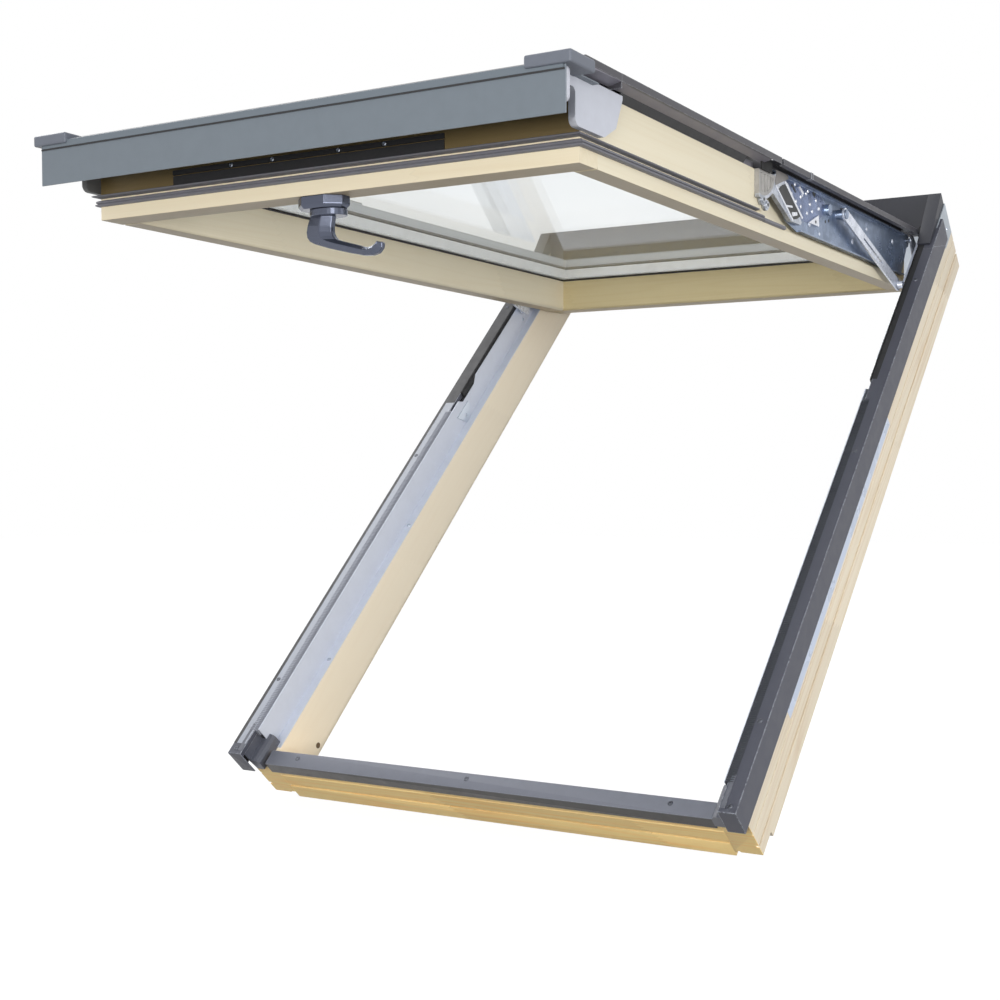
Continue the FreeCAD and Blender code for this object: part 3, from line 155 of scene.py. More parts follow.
floor_height = cad_box[0][2] - FLOOR_CLEARANCE
floor_mesh = bpy.data.meshes.new("floor")
floor_mesh.from_pydata(
    [(x * FLOOR_HALF_SIZE, y * FLOOR_HALF_SIZE, floor_height)
     for x, y in ((-1, -1), (1, -1), (1, 1), (-1, 1))], [], [(0, 1, 2, 3)])
floor_material = bpy.data.materials.new("pale_floor")
floor_material.use_nodes = True
tree = floor_material.node_tree
tree.nodes.clear()
floor_matt = output_of(tree, "ShaderNodeBsdfDiffuse", {"Color": srgb(FLOOR_GREY)})
floor_glow = output_of(tree, "ShaderNodeEmission", {"Strength": FLOOR_GLOW})
floor_sum = output_of(tree, "ShaderNodeAddShader", {0: floor_matt, 1: floor_glow})
seen_or_lit(tree, floor_matt, floor_sum, "ShaderNodeOutputMaterial")
floor_mesh.materials.append(floor_material)
new_object("floor", floor_mesh)

for name, place, size, power, tint in LAMPS:
    lamp = bpy.data.lights.new(name, "AREA")
    lamp.shape = "DISK"
    lamp.size = size
    lamp.energy = power
    lamp.color = tint
    holder = new_object(name, lamp)
    holder.location = place
    holder.rotation_euler = (LAMP_TARGET - Vector(place)).to_track_quat("-Z", "Y").to_euler()

# Pine frame
# Two posts and two rails of planed pine, glued up from finger-jointed lengths. Their outer
# faces carry fine lengthwise grooves. The left post has a plugged screw hole near its foot.
MM = 0.001
ROOF_PITCH = math.radians(45.0)
ORIGIN_UP = 13.5
HINGE_UP = 1104.8
HINGE_OUT = 112.4
HALF_WIDTH = 390.0
POST_INNER = 351.5
POST_FINISH = ((0.96, 0.91, 0.82), (0.88, 0.78, 0.65))
POST_GRAIN_INSIDE = 0.10
POST_GRAIN_OUTSIDE = 0.75
POST_FOOT_UP = (0.5, 1.1)
RAIL_FINISH = ((1.0, 0.89, 0.63), (1.0, 0.79, 0.49))
RAIL_SEED = 4.13
RAIL_BOARD = 0.31
POST_BOARD = 0.36
RING_SPACING = 0.006
BOARD_SHIFT = (0.4, 3.0, 0.4)
RING_STRETCH = (1.0, 0.035, 1.0)
FIBRE_STRETCH = (1.0, 0.012, 1.0)
FINGER_WIDTH = 0.004
JOINT_LINE = 0.0022
BARE_PINE = (0.95, 0.90, 0.80)
ALONG_X = (0, 0, math.radians(90.0))
ALONG_Y = (0, 0, 0)
UP_THE_ROOF = (-ROOF_PITCH, 0, 0)
HOLE_X = -351.5
HOLE_UP = 78.0
HOLE_OUT = 19.0
HOLE_RADIUS = 4.5
HOLE_RIM = 0.1
HOLE_DEPTH = 0.25

ON_FRAME = (Matrix.Rotation(ROOF_PITCH, 4, "X")
            @ Matrix.Translation((0, -ORIGIN_UP * MM, 0)) @ Matrix.Scale(MM, 4))
ON_SASH = (Matrix.Translation(ON_FRAME @ Vector((0, HINGE_UP, HINGE_OUT)))
           @ Matrix.Scale(MM, 4) @ Matrix.Translation((0, -HINGE_UP, -HINGE_OUT)))


def group_tree(name, inputs, outputs, kind="ShaderNodeTree"):
    """A node group with named sockets: its tree, what it is given and its result node."""
    tree = bpy.data.node_groups.new(name, kind)
    for label, socket_type, value in inputs:
        socket = tree.interface.new_socket(label, in_out="INPUT", socket_type=socket_type)
        if value is not None:
            socket.default_value = value
    for label, socket_type in outputs:
        tree.interface.new_socket(label, in_out="OUTPUT", socket_type=socket_type)
    given = tree.nodes.new("NodeGroupInput").outputs
    return tree, given, tree.nodes.new("NodeGroupOutput")


def times(tree, first, second):
    return sum_up(tree, "MULTIPLY", first, second)


def vector_sum(tree, operation, *values):
    return output_of(tree, "ShaderNodeVectorMath", enumerate(values), operation=operation)


def split_up(tree, vector):
    return add_node(tree, "ShaderNodeSeparateXYZ", {0: vector}).outputs


def noise(tree, vector, scale, detail=3.0, roughness=0.5):
    return add_node(tree, "ShaderNodeTexNoise",
                    {"Vector": vector, "Scale": scale, "Detail": detail,
                     "Roughness": roughness}).outputs["Fac"]


def spread(tree, value, low, high, new_low=0.0, new_high=1.0):
    """Map Range from one span to another, clamped at both ends."""
    return add_node(tree, "ShaderNodeMapRange",
                    {"Value": value, "From Min": low, "From Max": high,
                     "To Min": new_low, "To Max": new_high}).outputs["Result"]


def blend_colour(tree, share, first, second, kind="MIX"):
    return add_node(tree, "ShaderNodeMix", {0: share, 6: first, 7: second},
                    data_type="RGBA", blend_type=kind).outputs[2]


def shaded(tree, colour, tone):
    return blend_colour(tree, 1.0, colour, tone, "MULTIPLY")


def pine_grain_group():
    """Grain along Y: growth rings and fibres, with a new board after each finger joint."""
    tree, given, result = group_tree("pine_grain", [
        ("Vector", "NodeSocketVector", (0, 0, 0)),
        ("Light wood", "NodeSocketColor", (1, 1, 1, 1)),
        ("Late wood", "NodeSocketColor", (0.5, 0.5, 0.5, 1)),
        ("Ring spacing", "NodeSocketFloat", RING_SPACING),
        ("Board length", "NodeSocketFloat", POST_BOARD),
        ("Board slant", "NodeSocketFloat", 0.6),
        ("Seed", "NodeSocketFloat", 0.0),
        ("Grain strength", "NodeSocketFloat", 1.0),
    ], [("Color", "NodeSocketColor"), ("Height", "NodeSocketFloat"),
        ("Roughness", "NodeSocketFloat")])
    place = split_up(tree, given["Vector"])
    across = sum_up(tree, "ADD", place[0], place[2])
    slanted = sum_up(tree, "ADD", place[1], times(tree, across, given["Board slant"]))
    finger = sum_up(tree, "PINGPONG", across, FINGER_WIDTH)
    along = sum_up(tree, "ADD", slanted, times(tree, finger, 2.5))
    boards = sum_up(tree, "ADD", sum_up(tree, "DIVIDE", along, given["Board length"]),
                    given["Seed"])
    chance = add_node(tree, "ShaderNodeTexWhiteNoise", {"W": sum_up(tree, "FLOOR", boards)},
                      noise_dimensions="1D").outputs
    shift = vector_sum(tree, "MULTIPLY_ADD", chance["Color"], BOARD_SHIFT, given["Vector"])
    # The rings lie along the board, and bend slowly.
    bend = noise(tree, vector_sum(tree, "MULTIPLY", shift, RING_STRETCH), 16.0, 2.0)
    turns = sum_up(tree, "DIVIDE", times(tree, bend, 0.11), given["Ring spacing"])
    ring = sum_up(tree, "PINGPONG", sum_up(tree, "FRACT", turns), 0.5)
    late = sum_up(tree, "POWER", spread(tree, ring, 0.05, 0.5), 2.2)
    fibre = noise(tree, vector_sum(tree, "MULTIPLY", shift, FIBRE_STRETCH), 900.0, 2.0, 0.6)
    cloud = noise(tree, shift, 7.0, 2.0)
    strength = given["Grain strength"]
    share = sum_up(tree, "ADD", times(tree, late, 0.62),
                   spread(tree, fibre, 0.35, 0.75, 0.0, 0.34))
    share = times(tree, share, spread(tree, cloud, 0.3, 0.7, 0.55, 1.1))
    wood = blend_colour(tree, times(tree, share, strength), given["Light wood"],
                        given["Late wood"])
    board_tone = spread(tree, chance["Value"], 0.0, 1.0,
                        spread(tree, strength, 0.0, 1.0, 1.0, 0.90), 1.02)
    # A fine dark line shows where two boards meet, fainter on smooth wood.
    line = spread(tree, sum_up(tree, "PINGPONG", boards, 0.5), 0.0, JOINT_LINE,
                  spread(tree, strength, 0.0, 1.0, 1.0, 0.72), 1.0)
    height = sum_up(tree, "ADD", times(tree, late, 0.35), fibre)
    feed(tree, result, {"Color": shaded(tree, shaded(tree, wood, board_tone), line),
                        "Height": times(tree, height, line),
                        "Roughness": spread(tree, fibre, 0.3, 0.7, 0.46, 0.62)})
    return tree


def edge_wear_and_highlight_group():
    """1 on corners that stick out, 0 on flat faces, broken up by a fine noise."""
    tree, given, result = group_tree("edge_wear_and_highlight", [
        ("Vector", "NodeSocketVector", (0, 0, 0)),
        ("Width", "NodeSocketFloat", 0.001),
        ("Strength", "NodeSocketFloat", 1.0),
    ], [("Mask", "NodeSocketFloat")])
    soft = output_of(tree, "ShaderNodeBevel", {"Radius": given["Width"]}, samples=4)
    flat = add_node(tree, "ShaderNodeNewGeometry").outputs["Normal"]
    closeness = add_node(tree, "ShaderNodeVectorMath", {0: soft, 1: flat},
                         operation="DOT_PRODUCT").outputs["Value"]
    broken = spread(tree, noise(tree, given["Vector"], 260.0), 0.3, 0.62)
    mask = times(tree, spread(tree, closeness, 0.995, 0.82), broken)
    feed(tree, result, {"Mask": times(tree, mask, given["Strength"])})
    return tree


PINE_GRAIN = pine_grain_group()
EDGE_WEAR_AND_HIGHLIGHT = edge_wear_and_highlight_group()


def effect(tree, group, inputs):
    """The outputs of a shader group that has its own values."""
    return add_node(tree, "ShaderNodeGroup", inputs, node_tree=group).outputs


def new_material(name):
    """A material, its nodes' tree and its shader."""
    material = bpy.data.materials.new(name)
    material.use_nodes = True
    tree = material.node_tree
    return material, tree, tree.nodes["Principled BSDF"]


def object_place(tree, turn=ALONG_Y):
    """Object coordinates, turned for a pattern."""
    place = add_node(tree, "ShaderNodeTexCoord").outputs["Object"]
    return output_of(tree, "ShaderNodeMapping", {"Vector": place, "Rotation": turn})


def worn_and_highlit(tree, place, colour, edge_tint, width, strength):
    """The colour with paler corners: worn finish on wood, painted highlight on coats and metal."""
    wear_and_highlight = effect(tree, EDGE_WEAR_AND_HIGHLIGHT, {"Vector": place, "Width": width, "Strength": strength})
    return blend_colour(tree, wear_and_highlight["Mask"], colour, srgb(edge_tint))


def uneven(tree, height, strength, distance):
    return output_of(tree, "ShaderNodeBump",
                     {"Height": height, "Strength": strength, "Distance": distance})


def pine_material(name, finish, turn, seed, board=POST_BOARD, strength=1.0, coat=0.0,
                  post=False):
    """Planed pine. A post is smooth inside, grooved outside, and shows the rail at its foot."""
    material, tree, shader = new_material(name)
    place = object_place(tree, turn)
    if post:
        split = split_up(tree, place)
        strength = spread(tree, sum_up(tree, "ABSOLUTE", split[0]), (HALF_WIDTH - 2.0) * MM,
                          (HALF_WIDTH - 1.0) * MM, POST_GRAIN_INSIDE, POST_GRAIN_OUTSIDE)
    light, late = finish
    grain = effect(tree, PINE_GRAIN,
                   {"Vector": place, "Light wood": srgb(light), "Late wood": srgb(late),
                    "Seed": seed, "Board length": board, "Grain strength": strength})
    wood = worn_and_highlit(tree, place, grain["Color"], BARE_PINE, 0.0016, 0.35)
    if post:
        light, late = RAIL_FINISH
        foot = effect(tree, PINE_GRAIN,
                      {"Vector": object_place(tree, ALONG_X), "Light wood": srgb(light),
                       "Late wood": srgb(late), "Seed": RAIL_SEED,
                       "Board length": RAIL_BOARD})
        above = spread(tree, split[1], *[(up - ORIGIN_UP) * MM for up in POST_FOOT_UP])
        wood = blend_colour(tree, above, foot["Color"], wood)
    feed(tree, shader, {"Base Color": wood, "Roughness": grain["Roughness"],
                        "Coat Weight": coat, "Coat Roughness": 0.35,
                        "Normal": uneven(tree, grain["Height"], 0.15, 0.0003)})
    return material


def round_edges(made, width, segments=2, angle=35.0):
    """Live bevel on the sharp edges of a finished piece."""
    bevel = made.modifiers.new("break_edges", "BEVEL")
    bevel.width = width
    bevel.segments = segments
    bevel.limit_method = "ANGLE"
    bevel.angle_limit = math.radians(angle)


def dress(material, *names, soft=0.0):
    """Give CAD nodes a finish and, where soft is set, edges that are broken by a bevel."""
    for name in names:
        slots = nodes[name].data.materials
        slots.clear()
        slots.append(material)
        if soft:
            weld = nodes[name].modifiers.new("join_corners", "WELD")
            weld.merge_threshold = 0.00001
            round_edges(nodes[name], soft)


def place_of(body):
    """From millimetres to its place: the frame lies on the roof, all else is level."""
    return ON_FRAME if body == "frame" else ON_SASH


def piece(name, shapes, material, body):
    """Closed shapes in millimetres (x, up, out), made one finished piece on its body."""
    whole = bmesh.new()
    for shape in shapes:
        bmesh.ops.remove_doubles(shape, verts=shape.verts, dist=1e-5)
        bmesh.ops.recalc_face_normals(shape, faces=shape.faces)
        part = bpy.data.meshes.new("part")
        shape.to_mesh(part)
        shape.free()
        whole.from_mesh(part)
        bpy.data.meshes.remove(part)
    mesh = bpy.data.meshes.new(name)
    whole.to_mesh(mesh)
    whole.free()
    mesh.transform(place_of(body))
    mesh.materials.append(material)
    made = new_object(name, mesh)
    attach(made, body)
    return made


post_pine = pine_material("post_pine", POST_FINISH, UP_THE_ROOF, 0.35, post=True)
rail_pine = pine_material("rail_pine", RAIL_FINISH, ALONG_X, RAIL_SEED, board=RAIL_BOARD)
dress(post_pine, "left_post", "right_post", soft=0.0009)
dress(rail_pine, "frame_bottom_rail", "frame_top_rail", soft=0.0009)


def plain_material(name, colour, roughness, metallic=0.0, mottle=0.06, scale=60.0,
                   bump=0.12, bump_depth=0.0002, wear_and_highlight=0.0, wear_and_highlight_colour=(0.7, 0.7, 0.7),
                   wear_and_highlight_width=0.0008, shine=0.5):
    """A coated, moulded or metal surface: a fine cloudy tone, a slightly uneven face and,
    where it is asked for, paler corners: painted highlight along folds, with some wear."""
    material, tree, shader = new_material(name)
    place = object_place(tree)
    cloud = noise(tree, place, scale, 4.0, 0.6)
    grain = noise(tree, place, scale * 22.0, 2.0, 0.6)
    tone = shaded(tree, srgb(colour), spread(tree, cloud, 0.3, 0.7, 1.0 - mottle, 1.0 + mottle))
    if wear_and_highlight:
        tone = worn_and_highlit(tree, place, tone, wear_and_highlight_colour, wear_and_highlight_width, wear_and_highlight)
    feed(tree, shader, {
        "Base Color": tone, "Metallic": metallic, "Specular IOR Level": shine,
        "Roughness": spread(tree, cloud, 0.3, 0.7, roughness - 0.05, roughness + 0.06),
        "Normal": uneven(tree, grain, bump, bump_depth)})
    return material


def second_tone(material, limits, colour, turn=ALONG_Y):
    """Another colour where each coordinate of (axis, low, high) is between its two ends."""
    tree = material.node_tree
    shader = tree.nodes["Principled BSDF"]
    place = split_up(tree, object_place(tree, turn))
    share = 1.0
    for axis, low, high in limits:
        middle = sum_up(tree, "SUBTRACT", place[axis], (low + high) / 2)
        inside = spread(tree, sum_up(tree, "ABSOLUTE", middle), (high - low) / 2,
                        (high - low) / 2 - 0.0006)
        share = times(tree, share, inside)
    first = shader.inputs["Base Color"].links[0].from_socket
    feed(tree, shader, {"Base Color": blend_colour(tree, share, first, srgb(colour))})
    return material


plug = bmesh.new()
plug_place = (Matrix.Translation((HOLE_X + HOLE_DEPTH / 2, HOLE_UP, HOLE_OUT))
              @ Matrix.Rotation(math.radians(90.0), 4, "Y"))
bmesh.ops.create_cone(plug, cap_ends=True, segments=24, radius1=HOLE_RADIUS,
                      radius2=HOLE_RADIUS - HOLE_RIM, depth=HOLE_DEPTH, matrix=plug_place)
piece("post_hole_plug", [plug], plain_material("hole_plug", (0.38, 0.30, 0.20), 0.7), "frame")

# Frame cladding and its screws
# Dark grey coated aluminium sheet, folded over the posts and the bottom rail. It is held by
# small pan head screws near each fold. On the left lie a pale film and dark tape along the
# edges.
CLADDING_TOP = 125.5
BOTTOM_CLADDING_TOP = 93.7
FOOT_FACE_OUT = (60.0, 92.7)
FOOT_FACE_SHADE = (0.235, 0.23, 0.23)
END_FOLD = [(371.0, 125.5), (394.4, 125.5), (394.4, 84.0), (393.2, 84.0), (393.2, 124.3),
            (371.0, 124.3)]
END_FOLD_UP = (1060.0, 1140.0)
FILM_X = (-388.5, -372.0)
FILM_UP = (2.0, 720.0)
FILM_THICKNESS = 0.3
TAPES = (((-394.3, -388.5), FILM_UP), ((-394.3, -372.0), (720.0, 1058.0)))
TAPE_THICKNESS = 0.25
SCREW_HEAD_RADIUS = 3.6
SCREW_HEAD_HEIGHT = 1.3
SCREW_RECESS_WIDTH = 0.9
SIDE_SCREW_X = 384.0
SIDE_SCREW_UPS = (-7.0, 117.0, 590.0, 980.0)
BOTTOM_SCREW_XS = (-300.0, -11.0, 290.0)
BOTTOM_SCREW_UP = 7.0
OUT = (0, 0, 1)
RIGHT = (1, 0, 0)
LEFT = (-1, 0, 0)
UP_SLOPE = (0, 1, 0)
DOWN_SLOPE = (0, -1, 0)


def lofted(rings, closed=False):
    """Solid through rings of points, with flat ends or joined up into a loop."""
    shape = bmesh.new()
    rows = [[shape.verts.new(spot) for spot in ring] for ring in rings]
    for row, after in zip(rows, rows[1:] + rows[:1] if closed else rows[1:]):
        for index in range(len(row)):
            second = (index + 1) % len(row)
            shape.faces.new((row[index], row[second], after[second], after[index]))
    if not closed:
        shape.faces.new(rows[0])
        shape.faces.new(rows[-1])
    return shape


def extruded(outline, ends, axis):
    """Solid from an outline in the plane across an axis, run from end to end."""
    index = "xyz".index(axis)
    return lofted([[(*spot[:index], end, *spot[index:]) for spot in outline] for end in ends])


def bar(xs, ups, outs):
    """Rectangular bar between two values of x, up and out."""
    low, high = ups
    return extruded([(xs[0], low), (xs[1], low), (xs[1], high), (xs[0], high)], outs, "z")


def mirrored(shape):
    copy = shape.copy()
    bmesh.ops.scale(copy, vec=(-1, 1, 1), verts=copy.verts)
    bmesh.ops.reverse_faces(copy, faces=copy.faces)
    return copy


def both_sides(*shapes):
    """The shapes of the right side, with their mirror images on the left."""
    return [mirrored(shape) for shape in shapes] + list(shapes)


# Its pale edge colour is painted highlight along the folds.
coated_grey = plain_material("coated_grey", (0.305, 0.31, 0.35), 0.40, mottle=0.03,
                             bump=0.05, wear_and_highlight=1.0, wear_and_highlight_colour=(0.78, 0.80, 0.84),
                             wear_and_highlight_width=0.002, shine=0.22)
dress(coated_grey, "left_cladding", "right_cladding", soft=0.0006)
# Its pale edge colour is painted highlight along the folds.
foot_coat = plain_material("foot_coat", (0.45, 0.46, 0.50), 0.40, mottle=0.03, bump=0.05,
                           wear_and_highlight=0.85, wear_and_highlight_colour=(0.70, 0.70, 0.73), shine=0.3)
# Painted shade: the front face of the bottom cladding is coloured darker.
second_tone(foot_coat, [(2, FOOT_FACE_OUT[0] * MM, FOOT_FACE_OUT[1] * MM)], FOOT_FACE_SHADE,
            UP_THE_ROOF)
dress(foot_coat, "bottom_cladding", soft=0.0006)
folds = piece("cladding_end_folds", both_sides(extruded(END_FOLD, END_FOLD_UP, "y")),
              coated_grey, "frame")
round_edges(folds, 0.0005)
film_sheet = plain_material("cladding_film", (0.55, 0.57, 0.62), 0.3, mottle=0.12, scale=14.0,
                            bump=0.2, bump_depth=0.0006)
piece("left_cladding_film",
      [bar(FILM_X, FILM_UP, (CLADDING_TOP, CLADDING_TOP + FILM_THICKNESS))], film_sheet,
      "frame")
tapes = [bar(xs, ups, (CLADDING_TOP, CLADDING_TOP + TAPE_THICKNESS)) for xs, ups in TAPES]
piece("left_cladding_tape", tapes, plain_material("edge_tape", (0.12, 0.12, 0.14), 0.5),
      "frame")


def grown_tree(name, sizes):
    """A Geometry Nodes tree that is given points, sizes and a finish."""
    inputs = [("Geometry", "NodeSocketGeometry", None)]
    inputs += [(label, "NodeSocketFloat", None) for label in sizes]
    inputs += [("Finish", "NodeSocketMaterial", None)]
    return group_tree(name, inputs, [("Geometry", "NodeSocketGeometry")], "GeometryNodeTree")


def vector_of(tree, x, y, z):
    return output_of(tree, "ShaderNodeCombineXYZ", enumerate((x, y, z)))


def by_chance(tree, low, high, seed):
    """A number for each point between two ends."""
    return add_node(tree, "FunctionNodeRandomValue", {2: low, 3: high, "Seed": seed},
                    data_type="FLOAT").outputs[1]


def rotation_of(tree, x, y, z):
    return output_of(tree, "FunctionNodeEulerToRotation", {0: vector_of(tree, x, y, z)})


def finish_tree(tree, given, result, head, rotation):
    """Put the head on every point, make it real and give it the finish."""
    heads = output_of(tree, "GeometryNodeInstanceOnPoints",
                      {"Points": given["Geometry"], "Instance": head, "Rotation": rotation})
    real = output_of(tree, "GeometryNodeRealizeInstances", {0: heads})
    coat = output_of(tree, "GeometryNodeSetMaterial",
                     {"Geometry": real, "Material": given["Finish"]})
    feed(tree, result, {0: coat})


def on_each_point(tree, given, result, head):
    """Stand the head on its face, turned by chance."""
    facing = output_of(tree, "GeometryNodeInputNamedAttribute", {"Name": "facing"},
                       data_type="FLOAT_VECTOR")
    stand = output_of(tree, "FunctionNodeAlignRotationToVector", {"Vector": facing}, axis="Z")
    spin = rotation_of(tree, 0.0, 0.0, by_chance(tree, 0.0, math.tau, 7))
    turn = output_of(tree, "FunctionNodeRotateRotation", {0: stand, 1: spin},
                     rotation_space="LOCAL")
    finish_tree(tree, given, result, head, turn)


def screw_tree():
    """Pan head with a cross recess on each point."""
    tree, given, result = grown_tree("pan_head_screws",
                                     ("Head radius", "Head height", "Recess width"))
    radius = given["Head radius"]
    height = given["Head height"]
    width = given["Recess width"]
    length = times(tree, radius, 1.05)
    head = add_node(tree, "GeometryNodeMeshCone",
                    {"Vertices": 20, "Radius Top": times(tree, radius, 0.72),
                     "Radius Bottom": radius, "Depth": height}).outputs["Mesh"]
    cut = add_node(tree, "GeometryNodeMeshBoolean", {"Mesh 1": head}, operation="DIFFERENCE")
    for size in ((length, width), (width, length)):
        slit = add_node(tree, "GeometryNodeMeshCube",
                        {"Size": vector_of(tree, *size, height)}).outputs["Mesh"]
        lift = output_of(tree, "GeometryNodeTransform",
                         {"Geometry": slit, "Translation": vector_of(tree, 0.0, 0.0, height)})
        feed(tree, cut, {"Mesh 2": lift})
    on_each_point(tree, given, result, cut.outputs["Mesh"])
    return tree


def rivet_tree():
    """Low domed head on each point."""
    tree, given, result = grown_tree("domed_rivets", ("Head radius", "Head height"))
    radius = given["Head radius"]
    dome = add_node(tree, "GeometryNodeMeshUVSphere",
                    {"Segments": 20, "Rings": 10, "Radius": 1.0}).outputs["Mesh"]
    flat_dome = output_of(tree, "GeometryNodeTransform",
                          {"Geometry": dome,
                           "Scale": vector_of(tree, radius, radius, given["Head height"])})
    on_each_point(tree, given, result, flat_dome)
    return tree


def on_both_sides(places, way):
    """Points of the right side and the way they face, first mirrored to the left."""
    return [((side * x, up, out), (side * way[0], way[1], way[2]))
            for side in (-1, 1) for x, up, out in places]


def grown(name, tree, places, values, finish, body):
    """Run a Geometry Nodes tree on points and keep the result as one plain piece. Each of
    the places is a point in millimetres and the way that it faces."""
    on_body = place_of(body)
    mesh = bpy.data.meshes.new(name)
    mesh.from_pydata([on_body @ Vector(spot) for spot, way in places], [], [])
    facing = mesh.attributes.new("facing", "FLOAT_VECTOR", "POINT")
    for index, (spot, way) in enumerate(places):
        facing.data[index].vector = (on_body.to_3x3() @ Vector(way)).normalized()
    made = new_object(name, mesh)
    modifier = made.modifiers.new("grow", "NODES")
    modifier.node_group = tree
    values = {**values, "Finish": finish}
    for item in tree.interface.items_tree:
        if item.in_out == "INPUT" and item.name in values:
            modifier[item.identifier] = values[item.name]
    ready = made.evaluated_get(bpy.context.evaluated_depsgraph_get())
    result = bpy.data.meshes.new_from_object(ready)
    result.name = name
    made.modifiers.clear()
    made.data = result
    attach(made, body)
    return made


SCREWS = screw_tree()
RIVETS = rivet_tree()


def screws(name, places, finish, body, radius=SCREW_HEAD_RADIUS,
           height=SCREW_HEAD_HEIGHT, recess=SCREW_RECESS_WIDTH):
    grown(name, SCREWS, places, {"Head radius": radius * MM, "Head height": height * MM,
                                 "Recess width": recess * MM}, finish, body)


def rivets(name, places, finish, radius, height):
    """Rivets on both arms."""
    grown(name, RIVETS, on_both_sides(places, RIGHT),
          {"Head radius": radius * MM, "Head height": height * MM}, finish, "arms")


cladding_screws = on_both_sides([(SIDE_SCREW_X, up, CLADDING_TOP) for up in SIDE_SCREW_UPS], OUT)
cladding_screws += [((x, BOTTOM_SCREW_UP, BOTTOM_CLADDING_TOP), OUT) for x in BOTTOM_SCREW_XS]
dark_screw = plain_material("dark_screw", (0.34, 0.35, 0.38), 0.35, metallic=0.6, scale=300.0)
screws("cladding_screws", cladding_screws, dark_screw, "frame")

# Guide rails, seals, springs and latches
# A pale plated angle on each post's ledge, its wall cut down beside the latch. In the groove
# behind it lie a ribbed seal and a thin coil spring, hooked to a small plate with a hole.
GUIDE_WALL = 365.0
GUIDE_BACK = 366.5
GUIDE_UP = (28.0, 1122.0)
RAIL_FLOOR_OUT = (82.0, 83.5)
RAIL_FLOOR = RAIL_FLOOR_OUT[1]
WALL_OUTLINE = [(GUIDE_UP[0], RAIL_FLOOR), (GUIDE_UP[0], 125.0), (724.0, 125.0),
                (734.0, 115.0), (781.0, 115.5), (796.0, 123.5), (984.0, 121.5),
                (GUIDE_UP[1], 121.5), (GUIDE_UP[1], RAIL_FLOOR)]
LIP_X = (361.2, 366.2)
LIP_UP = (984.0, GUIDE_UP[1])
LIP_OUT = (120.3, 121.5)
SEAL_RIB_PITCH = 3.0
SEAL_COLOUR = (0.17, 0.17, 0.19)
SPRING_X = 368.75
SPRING_UP = (760.0, 1010.0)
SPRING_OUT = 119.1
SPRING_RADIUS = 1.5
SPRING_WIRE = 0.28
SPRING_TURNS = 170.0
GUIDE_SCREW_UPS = (190.0, 470.0, 1040.0)
GUIDE_SCREW_X = 358.0
WALL_SCREW = (GUIDE_WALL, 982.0, 95.0)

track_metal = plain_material("track_metal", (0.80, 0.82, 0.87), 0.42, metallic=0.25,
                             mottle=0.03, scale=45.0, bump=0.03)
rail_shapes = (extruded(WALL_OUTLINE, (GUIDE_WALL, GUIDE_BACK), "x"),
               bar((POST_INNER, GUIDE_BACK), GUIDE_UP, RAIL_FLOOR_OUT),
               bar(LIP_X, LIP_UP, LIP_OUT))
rails = piece("guide_rails_notched", both_sides(*rail_shapes), track_metal, "frame")
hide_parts("left_guide_rail", "right_guide_rail")
round_edges(rails, 0.0003)

zinc = plain_material("zinc_plate", (0.80, 0.83, 0.87), 0.33, metallic=0.75, mottle=0.06,
                      scale=45.0, bump=0.05)
dress(zinc, "spring_latches", soft=0.0003)

# Matt rubber with fine ribs across its length.
ribbed_seal, tree, shader = new_material("ribbed_seal")
place = object_place(tree, UP_THE_ROOF)
rib = sum_up(tree, "PINGPONG", split_up(tree, place)[1], SEAL_RIB_PITCH * MM / 2)
wave = spread(tree, rib, 0.0, SEAL_RIB_PITCH * MM / 2)
dust = noise(tree, place, 180.0)
rib_tone = sum_up(tree, "ADD", times(tree, wave, 0.5), spread(tree, dust, 0.3, 0.7, 0.6, 0.9))
feed(tree, shader, {"Base Color": shaded(tree, srgb(SEAL_COLOUR), rib_tone),
                    "Roughness": spread(tree, dust, 0.3, 0.7, 0.56, 0.70),
                    "Normal": uneven(tree, wave, 0.5, 0.0006)})
dress(ribbed_seal, "frame_seals")


def coil_tree():
    """Wire coil on each point, along the way that it faces."""
    tree, given, result = grown_tree("wire_coil",
                                     ("Coil radius", "Wire radius", "Length", "Turns"))
    spiral = output_of(tree, "GeometryNodeCurveSpiral",
                       {"Resolution": 9, "Rotations": given["Turns"],
                        "Start Radius": given["Coil radius"],
                        "End Radius": given["Coil radius"], "Height": given["Length"]})
    wire = output_of(tree, "GeometryNodeCurvePrimitiveCircle",
                     {"Resolution": 5, "Radius": given["Wire radius"]})
    tube = output_of(tree, "GeometryNodeCurveToMesh",
                     {"Curve": spiral, "Profile Curve": wire, "Fill Caps": True})
    on_each_point(tree, given, result, tube)
    return tree


springs = grown("coil_springs", coil_tree(),
                on_both_sides([(SPRING_X, SPRING_UP[0], SPRING_OUT)], UP_SLOPE),
                {"Coil radius": SPRING_RADIUS * MM, "Wire radius": SPRING_WIRE * MM,
                 "Length": (SPRING_UP[1] - SPRING_UP[0]) * MM, "Turns": SPRING_TURNS},
                plain_material("black_spring_wire", (0.10, 0.10, 0.12), 0.5), "frame")
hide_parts("guide_springs")

bright_screw = plain_material("bright_screw", (0.72, 0.75, 0.80), 0.28, metallic=0.9,
                              scale=300.0)
guide_screws = on_both_sides([(GUIDE_SCREW_X, up, RAIL_FLOOR) for up in GUIDE_SCREW_UPS], OUT)
guide_screws += on_both_sides([WALL_SCREW], LEFT)
screws("guide_rail_screws", guide_screws, bright_screw, "frame", radius=3.2, height=1.2)

